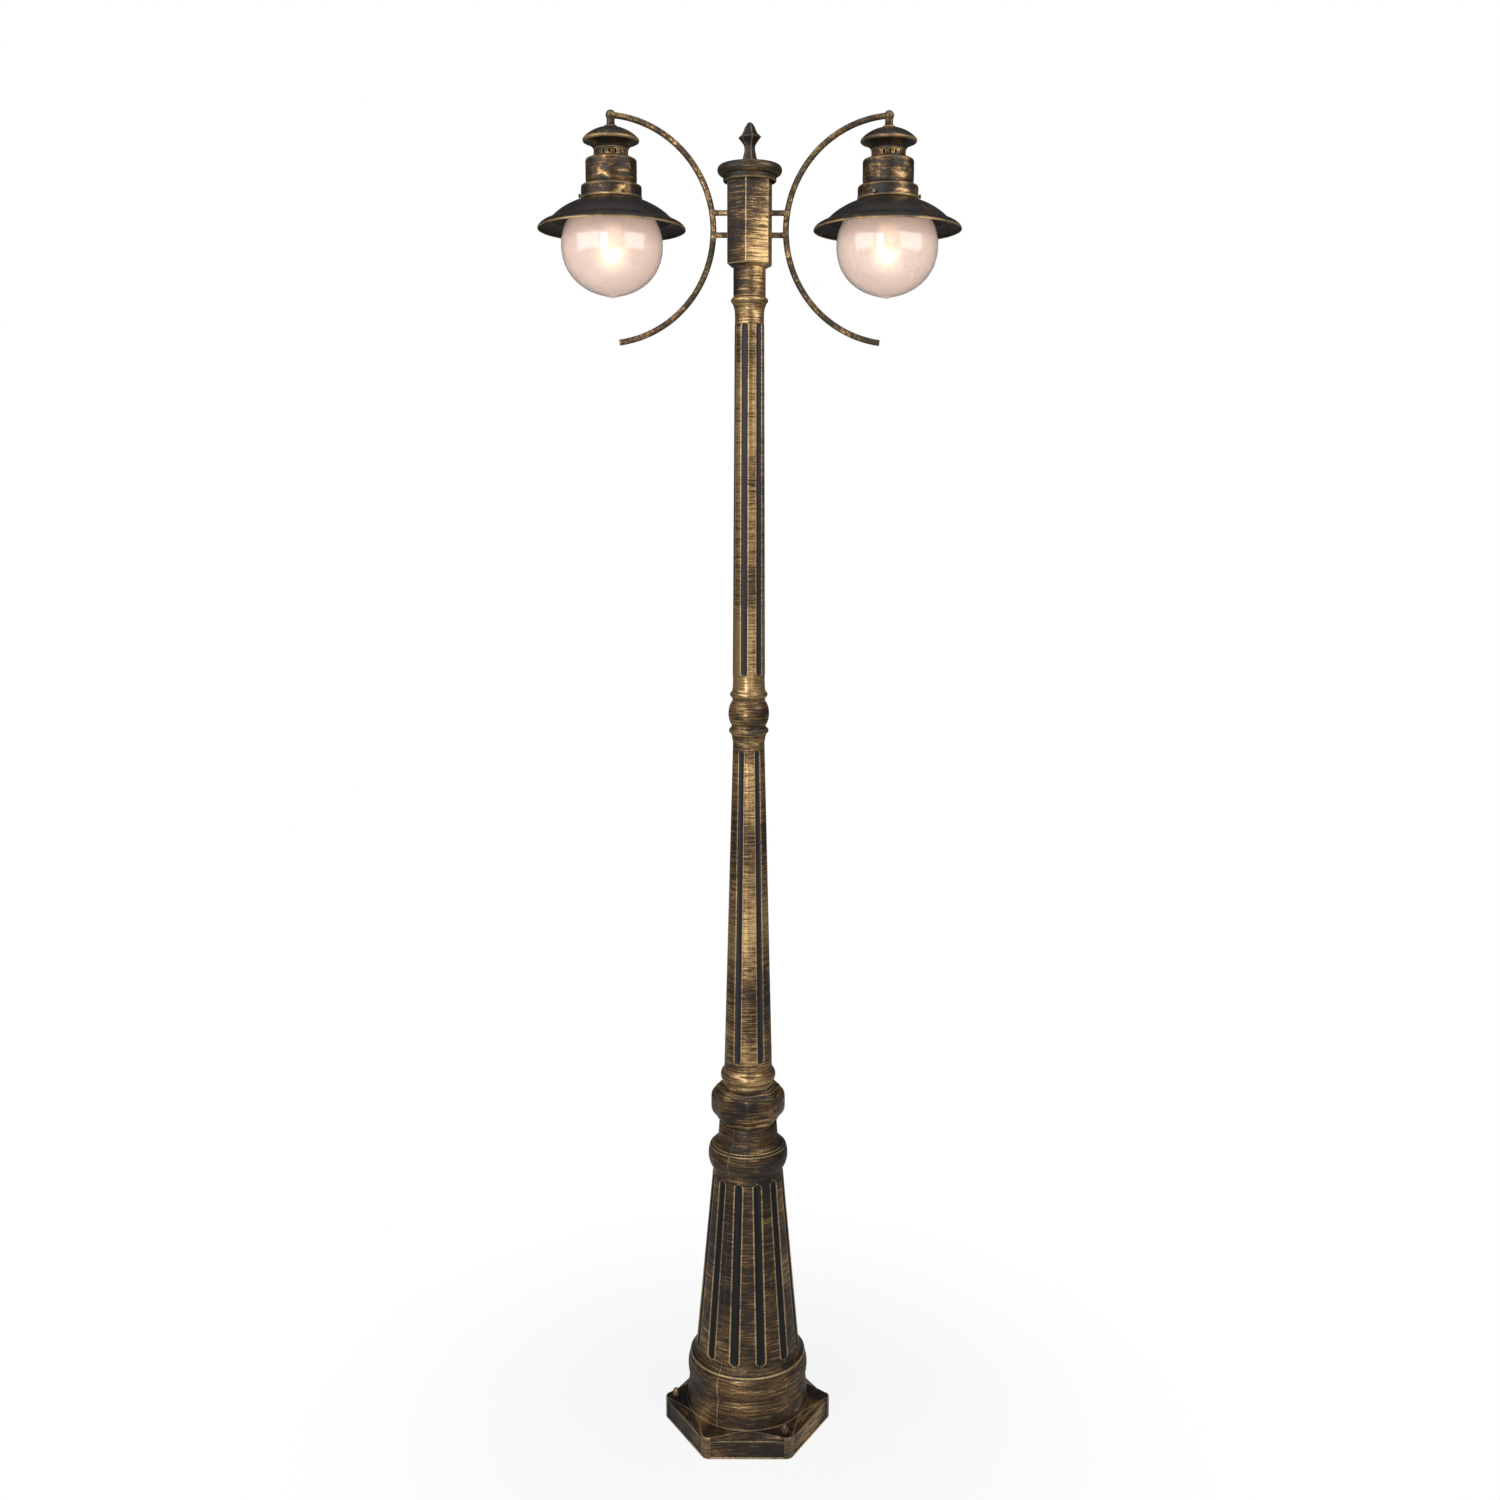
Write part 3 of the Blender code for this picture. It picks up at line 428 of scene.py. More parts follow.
class Finish:
    """A material's nodes, with short calls for the ones used here."""

    def __init__(self, name):
        self.material = bpy.data.materials.new(name)
        self.material.use_nodes = True
        self.nodes = self.material.node_tree.nodes
        self.links = self.material.node_tree.links
        self.shader = self.nodes["Principled BSDF"]
        self.place = self.nodes.new("ShaderNodeTexCoord").outputs["Object"]

    def feed(self, socket, value):
        """Links a socket to another, or gives it a plain value."""
        if isinstance(value, bpy.types.NodeSocket):
            self.links.new(value, socket)
        else:
            socket.default_value = value

    def set(self, **values):
        """Sets or links the shader's sockets; words are joined by underscores."""
        for word, value in values.items():
            self.feed(self.shader.inputs[word.replace("_", " ")], value)

    def noise(self, stretch, detail=3.0, roughness=0.55, shift=0.0, warp=0.0):
        """Noise with the given number of lumps to a metre along each axis."""
        mapping = self.nodes.new("ShaderNodeMapping")
        self.links.new(self.place, mapping.inputs["Vector"])
        mapping.inputs["Scale"].default_value = stretch
        mapping.inputs["Location"].default_value = (shift, shift * 0.7, shift * 1.3)
        texture = self.nodes.new("ShaderNodeTexNoise")
        self.links.new(mapping.outputs["Vector"], texture.inputs["Vector"])
        texture.inputs["Scale"].default_value = 1.0
        texture.inputs["Detail"].default_value = detail
        texture.inputs["Roughness"].default_value = roughness
        texture.inputs["Distortion"].default_value = warp
        return texture.outputs["Fac"]

    def wear_and_shade_mask(self, name):
        """How rubbed or how sunk the skin is, as its points say; sunk drives the black and painted shade
        in hollows.
        """
        attribute = self.nodes.new("ShaderNodeAttribute")
        attribute.attribute_name = name
        return attribute.outputs["Fac"]

    def reckon(self, operation, first, second=0.0, clamp=False):
        """One step of arithmetic on two sockets or numbers."""
        node = self.nodes.new("ShaderNodeMath")
        node.operation = operation
        node.use_clamp = clamp
        self.feed(node.inputs[0], first)
        self.feed(node.inputs[1], second)
        return node.outputs["Value"]

    def blend(self, shares):
        """The sum of (socket, weight) pairs."""
        total = 0.0
        for socket, weight in shares:
            total = self.reckon("ADD", self.reckon("MULTIPLY", socket, weight), total)
        return total

    def band(self, value, low, high, at_low=0.0, at_high=1.0):
        """value between low and high, smoothly spread over at_low to at_high."""
        node = self.nodes.new("ShaderNodeMapRange")
        node.interpolation_type = "SMOOTHSTEP"
        self.feed(node.inputs["Value"], value)
        node.inputs["From Min"].default_value = low
        node.inputs["From Max"].default_value = high
        node.inputs["To Min"].default_value = at_low
        node.inputs["To Max"].default_value = at_high
        return node.outputs["Result"]

    def mixed(self, share, first, second):
        node = self.nodes.new("ShaderNodeMix")
        node.data_type = "RGBA"
        self.feed(node.inputs["Factor"], share)
        for index, colour in ((6, first), (7, second)):
            self.feed(node.inputs[index], (*colour, 1.0) if isinstance(colour, tuple) else colour)
        return node.outputs[2]

    def ramp(self, value, stops):
        node = self.nodes.new("ShaderNodeValToRGB")
        self.feed(node.inputs["Fac"], value)
        elements = node.color_ramp.elements
        while len(elements) < len(stops):
            elements.new(0.5)
        for element, (position, colour) in zip(elements, stops):
            element.position = position
            element.color = (*colour, 1.0)
        return node.outputs["Color"]

    def bump(self, height, depth, strength=1.0):
        """Relief of the given depth in millimetres."""
        node = self.nodes.new("ShaderNodeBump")
        node.inputs["Strength"].default_value = strength
        node.inputs["Distance"].default_value = depth * MM
        self.links.new(height, node.inputs["Height"])
        self.links.new(node.outputs["Normal"], self.shader.inputs["Normal"])


def brushed_bronze(name, gold, strokes=(22.0, 22.0, 400.0), shift=0.0, edge=0.8, clouds=8.0,
                   spread=0.22, hollow_black_and_shade=SHADED_HOLLOW_BLACK, painted_light_lean=0.0):
    """Satin black-brown paint dry-brushed with gold; gold is how much of it the brush left.

    The last argument says how much more gold lies towards +X, for each metre: painted light, that side
    drawn lighter as if lit from there.
    """
    finish = Finish(name)
    long_strokes = finish.noise(strokes, 4.0, 0.62, shift, 0.15)
    fine = finish.noise(tuple(size * 2.1 for size in strokes), 2.0, 0.5, shift + 3.1)
    cloud = finish.noise((clouds, clouds, clouds * 0.8), 3.0, 0.55, shift + 7.7, 0.4)
    speck = finish.noise((260.0, 260.0, 260.0), 2.0, 0.6, shift + 1.9)
    shares = [(long_strokes, 0.5), (fine, 0.3), (cloud, 0.58), (speck, 0.14)]
    # Painted light: more gold towards +X, so that side reads as lit.
    if painted_light_lean:
        axes = finish.nodes.new("ShaderNodeSeparateXYZ")
        finish.links.new(finish.place, axes.inputs["Vector"])
        shares.append((axes.outputs["X"], painted_light_lean))
    cover = finish.blend(shares)
    middle = 0.76 + (0.5 - gold) * 0.3
    level = finish.band(cover, middle - spread, middle + spread)
    colour = finish.ramp(level, [(0.12, SOOT), (0.38, UMBER), (0.62, BRONZE), (0.9, GOLD)])
    broken = finish.blend([(speck, 0.3), (cloud, 0.35), (long_strokes, 0.35)])
    rub = finish.reckon("MULTIPLY", finish.wear_and_shade_mask("rub"), finish.band(broken, 0.38, 0.58, 0.1, edge), True)
    colour = finish.mixed(rub, colour, RUBBED_GOLD)
    # Hollows take the black the brush leaves there, darkened further as painted shade, and lose their
    # shine.
    sunk = finish.reckon("MULTIPLY", finish.wear_and_shade_mask("sunk"), 1.15, True)
    colour = finish.mixed(sunk, colour, hollow_black_and_shade)
    shine = finish.reckon("MULTIPLY", finish.reckon("MAXIMUM", level, rub),
                       finish.reckon("SUBTRACT", 1.0, sunk), True)
    finish.set(Base_Color=colour, Metallic=finish.band(shine, 0.1, 0.9, 0.15, 0.85),
               Roughness=finish.band(finish.blend([(shine, 0.5), (speck, 0.5)]), 0.2, 0.8, 0.5, 0.3),
               Specular_IOR_Level=0.42)
    finish.bump(finish.blend([(level, 0.5), (speck, 0.35), (fine, 0.3)]), 0.35, 0.6)
    return finish.material


def spun_bronze(name, gold, shift=0.0):
    """The lanterns' dark paint, mottled with gold that a rag has wiped round."""
    finish = Finish(name)
    cloud = finish.noise((26.0, 26.0, 42.0), 4.0, 0.6, shift, 0.6)
    wipe = finish.noise((30.0, 30.0, 300.0), 3.0, 0.6, shift + 2.3)
    speck = finish.noise((420.0, 420.0, 420.0), 2.0, 0.6, shift + 4.4)
    cover = finish.blend([(cloud, 0.85), (wipe, 0.3), (speck, 0.2)])
    middle = 0.68 + (0.5 - gold) * 0.3
    level = finish.band(cover, middle - 0.2, middle + 0.2)
    colour = finish.ramp(level, [(0.1, SOOT), (0.42, UMBER), (0.68, BRONZE), (0.95, GOLD)])
    rub = finish.reckon("MULTIPLY", finish.wear_and_shade_mask("rub"), finish.band(cloud, 0.35, 0.6, 0.2, 0.85), True)
    colour = finish.mixed(rub, colour, GOLD)
    # Hollows and grooves turn near black: partly the black paint, partly painted shade.
    colour = finish.mixed(finish.reckon("MULTIPLY", finish.wear_and_shade_mask("sunk"), 0.9, True), colour, SHADED_HOLLOW_BLACK)
    shine = finish.reckon("MAXIMUM", level, rub)
    finish.set(Base_Color=colour, Metallic=finish.band(shine, 0.1, 0.9, 0.2, 0.85),
               Roughness=finish.band(cover, 0.4, 0.9, 0.5, 0.32))
    finish.bump(finish.blend([(level, 0.3), (speck, 0.6)]), 0.25, 0.5)
    return finish.material


def tinted_globe():
    finish = Finish("tinted_globe_plastic")
    haze = finish.noise((14.0, 14.0, 10.0), 2.0, 0.5, 0.4, 0.5)
    ripple = finish.noise((60.0, 60.0, 60.0), 2.0, 0.5, 2.2)
    colour = finish.mixed(finish.band(haze, 0.3, 0.7), (0.93, 0.79, 0.72), (0.95, 0.83, 0.77))
    # The small emission is painted glow: the globe shines by itself, standing in for the bulb's light
    # scattered in it.
    finish.set(Base_Color=colour, Roughness=finish.band(haze, 0.3, 0.7, 0.22, 0.28),
               IOR=1.49, Transmission_Weight=0.6, Coat_Weight=1.0, Coat_Roughness=0.04,
               Coat_IOR=1.75, Emission_Color=(1.0, 0.82, 0.72, 1.0), Emission_Strength=0.12)
    finish.bump(ripple, 0.2, 0.05)
    return finish.material


def bulb_finish():
    finish = Finish("frosted_bulb_glass")
    haze = finish.noise((90.0, 90.0, 90.0), 2.0, 0.5)
    tone = finish.mixed(finish.band(haze, 0.3, 0.7), (0.98, 0.90, 0.80), (1.0, 0.95, 0.88))
    finish.set(Base_Color=tone, Roughness=finish.band(haze, 0.3, 0.7, 0.30, 0.38),
               Transmission_Weight=0.9, IOR=1.3, Emission_Color=(1.0, 0.82, 0.6, 1.0),
               Emission_Strength=0.25)
    return finish.material


def glow_finish():
    """The lamp's glowing core."""
    finish = Finish("glowing_core")
    flicker = finish.noise((200.0, 200.0, 200.0), 2.0, 0.5)
    tone = finish.mixed(finish.band(flicker, 0.3, 0.7), (1.0, 0.78, 0.45), (1.0, 0.86, 0.58))
    finish.set(Base_Color=tone, Roughness=finish.band(flicker, 0.3, 0.7, 0.4, 0.6),
               Emission_Color=tone, Emission_Strength=26.0)
    return finish.material


def plain_metal(name, colour, low_roughness, high_roughness, metallic=1.0, grain=300.0):
    """Bare or plated metal with fine grain and faint stains."""
    finish = Finish(name)
    stain = finish.noise((30.0, 30.0, 30.0), 3.0, 0.6, 1.2)
    fine = finish.noise((grain, grain, grain), 2.0, 0.6, 2.4)
    darker = tuple(channel * 0.72 for channel in colour)
    tone = finish.mixed(finish.band(stain, 0.35, 0.65), darker, colour)
    finish.set(Base_Color=tone, Metallic=metallic,
               Roughness=finish.band(fine, 0.3, 0.7, low_roughness, high_roughness))
    finish.bump(fine, 0.08, 0.4)
    return finish.material


def make_finishes():
    return {
        # The gold share rises from the foot up the post, so the post is darker towards the bottom.
        "base": brushed_bronze("brushed_bronze_base", 0.36, spread=0.25),
        "collar": brushed_bronze("brushed_bronze_collar", 0.55, shift=13.0),
        "lower_pole": brushed_bronze("brushed_bronze_lower_pole", 0.6, shift=21.0, hollow_black_and_shade=SHADED_FLUTE_BLACK),
        "coupling": brushed_bronze("brushed_bronze_coupling", 0.62, shift=31.0),
        "upper_pole": brushed_bronze("brushed_bronze_upper_pole", 0.7, shift=41.0, hollow_black_and_shade=SHADED_FLUTE_BLACK),
        "head": brushed_bronze("brushed_bronze_head", 0.44, shift=51.0, painted_light_lean=2.6),
        "cap": brushed_bronze("brushed_bronze_cap", 0.14, shift=61.0, edge=0.4),
        "nut": brushed_bronze("brushed_bronze_nuts", 0.5, (90.0, 90.0, 260.0), 71.0, 0.5),
        "arm": brushed_bronze("brushed_bronze_arms", 0.42, (150.0, 150.0, 150.0), 81.0, 0.3, 24.0),
        "drum": spun_bronze("wiped_bronze_drum", 0.46, 3.0),
        "hat": spun_bronze("wiped_bronze_hat", 0.24, 13.0),
        "shade": spun_bronze("dark_bronze_shade", 0.1, 23.0),
        "globe": tinted_globe(),
        "bulb": bulb_finish(),
        "glow": glow_finish(),
        "steel": plain_metal("zinc_plate", (0.62, 0.62, 0.60), 0.3, 0.45),
        "brass": plain_metal("rolled_brass", (0.72, 0.53, 0.24), 0.22, 0.36),
        "screw": plain_metal("blackened_brass", (0.20, 0.14, 0.07), 0.32, 0.48, 0.9),
        "ceramic": plain_metal("glazed_ceramic", (0.82, 0.80, 0.75), 0.12, 0.2, 0.0, 80.0),
        "rubber": plain_metal("moulded_rubber", (0.022, 0.022, 0.022), 0.6, 0.8, 0.0),
        "plastic": plain_metal("moulded_plastic", (0.72, 0.69, 0.60), 0.4, 0.5, 0.0),
    }


# ---------------------------------------------------------------- flutes

class Flutes:
    """Round-ended grooves set evenly about a tapering shaft."""

    ACROSS = (-1.42, -1.3, -1.16, -1.04, -0.96, -0.88, -0.74, -0.4, 0.0,
              0.4, 0.74, 0.88, 0.96, 1.04, 1.16, 1.3, 1.42)
    LAND = (0.2, 0.4, 0.475, 0.5, 0.525, 0.6, 0.8)
    END_SHARES = (0.0, 0.05, 0.14, 0.28, 0.46, 0.7, 1.0)
    ROW_SPACING = 13.0
    END_WIDTH = 0.3                # share of the width that the rows past the ends keep
    SEAM_LIFT = 0.55

    def __init__(self, count, first, low, high, widths, depth, border, seam=None):
        self.count = count
        self.first = first
        self.low = low
        self.high = high
        self.widths = widths
        self.depth = depth
        self.border = border
        self.seam = seam

    def heights(self):
        """Heights from the top down that show the flutes' rounded ends."""
        low_half = self.widths[0] / 2
        high_half = self.widths[1] / 2
        lower = [self.low + low_half * share for share in self.END_SHARES]
        upper = [self.high - high_half * share for share in self.END_SHARES]
        middle_low = lower[-1]
        middle_high = upper[-1]
        count = int((middle_high - middle_low) / self.ROW_SPACING)
        straight = [middle_low + (middle_high - middle_low) * index / count
                    for index in range(1, count)]
        return upper + straight[::-1] + lower[::-1]

    def ring(self, radius, height, outside=True):
        """One row of points round the shaft; inside the bore the flutes don't show."""
        share = min(max((height - self.low) / (self.high - self.low), 0.0), 1.0)
        half = (self.widths[0] + (self.widths[1] - self.widths[0]) * share) / 2
        squeeze = 0.0
        if outside and self.low <= height <= self.high:
            depth_in = min(min(height - self.low, self.high - height) / half, 1.0)
            squeeze = math.sqrt(1.0 - (1.0 - depth_in) ** 2)
        reach = half * max(squeeze, self.END_WIDTH) / radius
        step = 2 * math.pi / self.count
        ring = []
        for index in range(self.count):
            centre = math.radians(self.first) + step * index
            for across in self.ACROSS:
                ring.append(self.point(radius, height, centre + across * reach, across, squeeze))
            edge = centre + self.ACROSS[-1] * reach
            gap = step - 2 * self.ACROSS[-1] * reach
            for share in self.LAND:
                turn = edge + gap * share
                lift = 0.0
                if outside and self.seam is not None and share == 0.5:
                    off = math.degrees(turn) - self.seam
                    if abs(math.remainder(off, 180.0)) < 1.0:
                        lift = self.SEAM_LIFT
                ring.append(((radius + lift) * math.cos(turn), (radius + lift) * math.sin(turn),
                             height))
        return ring

    def point(self, radius, height, turn, across, squeeze):
        """A point across one flute: sunk within its width, proud along its raised border."""
        width = abs(across)
        sunk = 0.0
        if width < 1.0:
            radius -= self.depth * squeeze * (1.0 - width ** 4)
            sunk = squeeze * smooth_step(1.0 - width, 0.0, 0.12)
        elif width < 1.4:
            radius += self.border * squeeze * (1.0 - ((width - 1.2) / 0.2) ** 2)
        return (radius * math.cos(turn), radius * math.sin(turn), height, sunk)


def shaft(foot, head, flutes):
    """(radius, height) points of a straight taper from head down to foot, at the flutes' rows."""
    points = []
    for height in flutes.heights():
        share = (height - foot[1]) / (head[1] - foot[1])
        points.append((foot[0] + (head[0] - foot[0]) * share, height))
    return points


def fluted(name, outer, inner, flutes):
    """A fluted shaft: the outside from the top down, then the bore from the bottom up."""
    rings = [flutes.ring(radius, height) for radius, height in outer]
    rings += [flutes.ring(radius, height, False) for radius, height in inner]
    return shell(name, rings)


# ---------------------------------------------------------------- foot and post

def foot_plate():
    """Hexagonal plate: corner posts, sunk panels, scoops up to a ridge and flat pads."""
    rows = [[] for row in range(FACE_POINTS + len(SCOOP_SHARES) + TOP_POINTS)]

    def add(points):
        for row, point in zip(rows, points):
            row.append(point)

    for side in range(6):
        out = Matrix.Rotation(math.radians(60 * side - 90), 2) @ Vector((1, 0))
        along = Vector((-out.y, out.x))
        half = [PANEL_EDGE, 65.2, 62.0] + [6.0 * step for step in range(9, 0, -1)]
        for u in [-place for place in half] + [0.0] + half[::-1]:
            add(panel_column(out, along, u))
        corner_angle = math.radians(60 * side - 60)
        centre = FOOT_CORNER - FOOT_ROUNDING / math.cos(math.radians(30))
        middle = centre * Vector((math.cos(corner_angle), math.sin(corner_angle)))
        bends = [corner_angle + math.radians(-30 + 60 * step / 8) for step in range(9)]
        for u in (PANEL_HALF_WIDTH, POST_EDGE):
            add(post_column(out * FOOT_APOTHEM + along * u, out))
        for bend in bends:
            normal = Vector((math.cos(bend), math.sin(bend)))
            add(post_column(middle + normal * FOOT_ROUNDING, normal))
        next_out = Matrix.Rotation(math.radians(60), 2) @ out
        next_along = Vector((-next_out.y, next_out.x))
        for u in (POST_EDGE, PANEL_HALF_WIDTH):
            add(post_column(next_out * FOOT_APOTHEM - next_along * u, next_out))
    return shell("foot_plate", rows)


def ridge_distance(u):
    """How far out the ridge above a panel stands, u along the side from its middle."""
    marks = [(0.0, 113.0), (13.0, 114.8), (27.0, 118.6), (46.0, 125.2), (PANEL_HALF_WIDTH, 131.6)]
    width = abs(u)
    for (start, low), (end, high) in zip(marks, marks[1:]):
        if width <= end:
            return low + (high - low) * (width - start) / (end - start)
    return marks[-1][1]


def panel_column(out, along, u):
    """Points up a panel and its scoop, from the plate's underside to its bore."""
    edge = along * u
    ridge = ridge_distance(u)
    column = [(FOOT_APOTHEM - 0.6, 0.0), (FOOT_APOTHEM, 0.7), (FOOT_APOTHEM, PANEL_LOW - 0.7),
              (FOOT_APOTHEM - 0.6, PANEL_LOW), (PANEL_FACE + 0.2, PANEL_LOW + 0.4),
              (PANEL_FACE, PANEL_LOW + 1.4), (PANEL_FACE, PANEL_TOP - 2.4),
              (PANEL_FACE, PANEL_TOP - 0.9)]
    for share in SCOOP_SHARES:
        column.append((PANEL_FACE - 0.3 + (ridge - PANEL_FACE + 0.3) * share,
                       PANEL_TOP + (PLATE_TOP - PANEL_TOP) * share))
    points = [(*(out * distance + edge), height) for distance, height in column]
    return points + plate_top(out * ridge + edge, points[0])


def post_column(point, normal):
    """Points up a corner post, whose top edge is a rounded lip."""
    column = [(0.6, 0.0), (0.0, 0.7), (0.0, PANEL_LOW - 0.7), (0.0, PANEL_LOW),
              (0.0, PANEL_LOW + 0.4), (0.0, PANEL_LOW + 1.4), (0.0, PANEL_TOP - 2.4),
              (0.0, PANEL_TOP - 0.9)]
    for share in SCOOP_SHARES:
        rise = min(share / 0.5, 1.0)
        turn = math.radians(90 * max(share - 0.5, 0.0) / 0.5)
        height = PANEL_TOP + (PLATE_TOP - POST_LIP - PANEL_TOP) * rise
        column.append((POST_LIP * (1 - math.cos(turn)), height + POST_LIP * math.sin(turn)))
    points = [(*(point - normal * inset), height, 0.0, POST_RUB) for inset, height in column]
    return points + plate_top(point - normal * POST_LIP, points[0])


def plate_top(flat, start):
    """The flat pad from the ridge in to the bore, and the bore down to the underside."""
    direction = flat.normalized()
    skirt = direction * (SKIRT_RADIUS - 2.0)
    near = flat.lerp(skirt, min(2.0 / max((flat - skirt).length, 2.1), 0.9))
    points = [(*near, PLATE_TOP), (*skirt, PLATE_TOP), (*(direction * 103.0), PLATE_TOP - 0.4),
              (*(direction * FOOT_HOLLOW), 24.7), (*(direction * FOOT_HOLLOW), 0.0)]
    return points + [(*(Vector(start[:2]) - direction * 3.0), 0.0)]


def base_post():
    """Round skirt, torus, fluted cone and neck of the foot's casting."""
    flutes = Flutes(12, -75.0, 153.5, 487.0, (16.0, 13.4), 2.7, 0.55, seam=60.0)
    outer = [(50.9, BASE_TOP), (51.8, BASE_TOP - 0.9), (53.4, 562.0), (54.2, 557.4), (55.8, 553.0),
             (58.4, 549.0), (61.6, 546.2), (64.0, 544.6), (65.2, 543.6), (65.4, 542.8),
             (64.8, 542.0), (65.0, 541.2), (66.6, 540.8)]
    outer += arc(55.4, 523.4, 16.4, 28.1, 37, -62, 19)
    outer += [(63.2, 496.6), (63.1, 494.3), (63.4, 491.0)]
    outer += shaft((94.7, 150.8), (63.4, 494.3), flutes)
    outer += [(94.9, 150.6), (96.0, 149.6)]
    outer += arc(86.7, 111.9, 23.3, 37.9, 62, 46, 4)
    outer += [(103.8, 139.2), (105.0, 138.8), (105.9, 137.6), (105.9, 136.2), (105.2, 135.2),
              (104.9, 134.4)]
    outer += arc(86.7, 111.9, 23.3, 37.9, 33, -34, 15)
    outer += [(106.2, 87.8), (106.4, 85.0), (108.2, 82.4), (108.7, 79.0), (110.4, 58.0),
              (111.0, 46.0), (111.6, 43.2), (112.8, 41.4), (112.8, 40.9)]
    inner = [(104.5, 41.5), (102.3, 43.3), (99.1, 99.2), (87.7, 146.6), (57.0, 487.0),
             (47.7, 542.1), (30.4, 552.5), (30.4, BASE_TOP)]
    return fluted("base_post", outer, inner, flutes)


def collar():
    outer = [(47.6, COLLAR_TOP), (48.8, 654.3), (58.4, 650.2)]
    outer += arc(54.3, 630.4, 13.3, 18.2, 62, 0, 8)
    outer += arc(54.3, 612.8, 13.3, 18.7, 0, -62, 8)
    outer += [(56.2, 594.6), (55.6, 590.6), (55.3, 588.4), (52.8, BASE_TOP + 0.3)]
    inner = [(33.4, BASE_TOP + 0.3), (33.4, COLLAR_TOP)]
    return many_sided("collar", eased(outer + inner, 1.4), 8, 0.2, 0.0)


def lower_pole():
    foot = COLLAR_TOP + 0.3
    flutes = Flutes(6, -117.5, 703.0, 1266.0, (12.6, 9.6), 2.6, 0.4)
    outer = [(26.8, LOWER_POLE_TOP), (27.5, LOWER_POLE_TOP - 0.7), (27.7, 1268.5)]
    outer += shaft((42.6, 697.8), (27.8, 1264.3), flutes)
    outer += [(42.6, 697.8), (42.9, 689.0), (43.6, 685.4)]
    outer += arc(42.5, 672.4, 6.8, 11.4, 64, -60, 13)
    outer += [(44.6, 661.2), (45.1, foot)]
    inner = [(30.4, foot), (30.4, 735.0), (35.8, 751.6), (23.7, 1225.6), (19.6, 1238.0),
             (19.6, LOWER_POLE_TOP)]
    return fluted("lower_pole_casting", outer, inner, flutes)


def coupling():
    outer = [(28.2, COUPLING_TOP), (28.6, 1369.0), (29.4, 1366.8)]
    outer += arc(28.8, 1361.3, 3.8, 4.8, 60, -60, 9)
    outer += [(29.0, 1355.4), (28.5, 1353.2)]
    outer += arc(20.3, 1328.3, 15.0, 26.4, 58, -52, 19)
    outer += [(29.6, 1306.2), (30.2, 1304.2)]
    outer += arc(30.2, 1298.3, 4.3, 5.0, 60, -60, 9)
    outer += [(30.4, 1291.8), (29.4, 1287.7), (28.0, 1279.8)]
    inner = [(19.6, 1279.8), (19.6, COUPLING_TOP)]
    return turned("coupling", outer + inner)


def upper_pole():
    bottom = COUPLING_TOP + 0.3
    flutes = Flutes(6, -109.0, 1394.0, 1983.0, (12.0, 11.4), 2.4, 0.4)
    outer = [(24.2, UPPER_POLE_TOP), (24.8, UPPER_POLE_TOP - 0.8), (24.4, 1997.0), (24.45, 1988.0)]
    outer += shaft((27.7, 1381.1), (24.4, 1997.0), flutes)
    outer += [(27.65, 1388.0), (27.7, 1381.1), (28.2, bottom)]
    inner = [(19.6, bottom), (19.6, UPPER_POLE_TOP)]
    return fluted("upper_pole_casting", outer, inner, flutes)


def spigot_bead():
    shoulder = SLEEVE_BOTTOM - 0.3
    outer = [(21.0, 2067.0), (21.0, shoulder), (27.0, shoulder)]
    outer += arc(26.5, 2021.0, 4.6, 4.9, 62, -62, 11)
    outer += [(27.4, 2013.6), (26.0, 2010.0), (24.9, UPPER_POLE_TOP + 0.3)]
    inner = [(19.2, UPPER_POLE_TOP + 0.3), (19.2, 1972.0), (16.0, 1972.0), (16.0, 2067.0)]
    return turned("spigot_bead", outer + inner)


def cap_nut():
    """A hexagon nut with a domed cap, standing on its stud's own axis."""
    low = PLATE_TOP + 0.3
    hexagon = [(0.0, low + 7.2), (6.9, low + 6.8), (7.5, low + 5.9), (7.5, low + 0.5), (7.1, low),
               (0.0, low)]
    nut = many_sided("nut", hexagon, 6, 0.1, 0.0, closed=False)
    dome = arc(0.0, low + 7.0, 6.2, 8.0, 90, 0, 9) + [(6.3, low + 5.8), (0.0, low + 5.8)]
    return joined("cap_nut", [nut, turned("dome", dome, 28, closed=False)])


def post_pieces(finishes, tree):
    put("cast_foot", joined("cast_foot", [foot_plate(), base_post()]), finishes["base"], "post",
        ["base_casting"])
    nuts = set_about(tree, "anchor_cap_nuts", cap_nut(), 3, STUD_CIRCLE, 60.0, finishes["nut"])
    put("anchor_cap_nuts", nuts, finishes["nut"], "post",
        ["anchor_cap_nut_left", "anchor_cap_nut_front", "anchor_cap_nut_rear"])
    put("octagonal_collar", collar(), finishes["collar"], "post", ["base_collar"])
    put("fluted_lower_pole", lower_pole(), finishes["lower_pole"], "post",
        ["lower_pole"])
    put("ball_coupling", coupling(), finishes["coupling"], "post",
        ["mid_coupling"])
    put("fluted_upper_pole", upper_pole(), finishes["upper_pole"], "post",
        ["upper_pole"])
    put("beaded_spigot", spigot_bead(), finishes["upper_pole"], "post",
        ["head_spigot"])


# ---------------------------------------------------------------- head

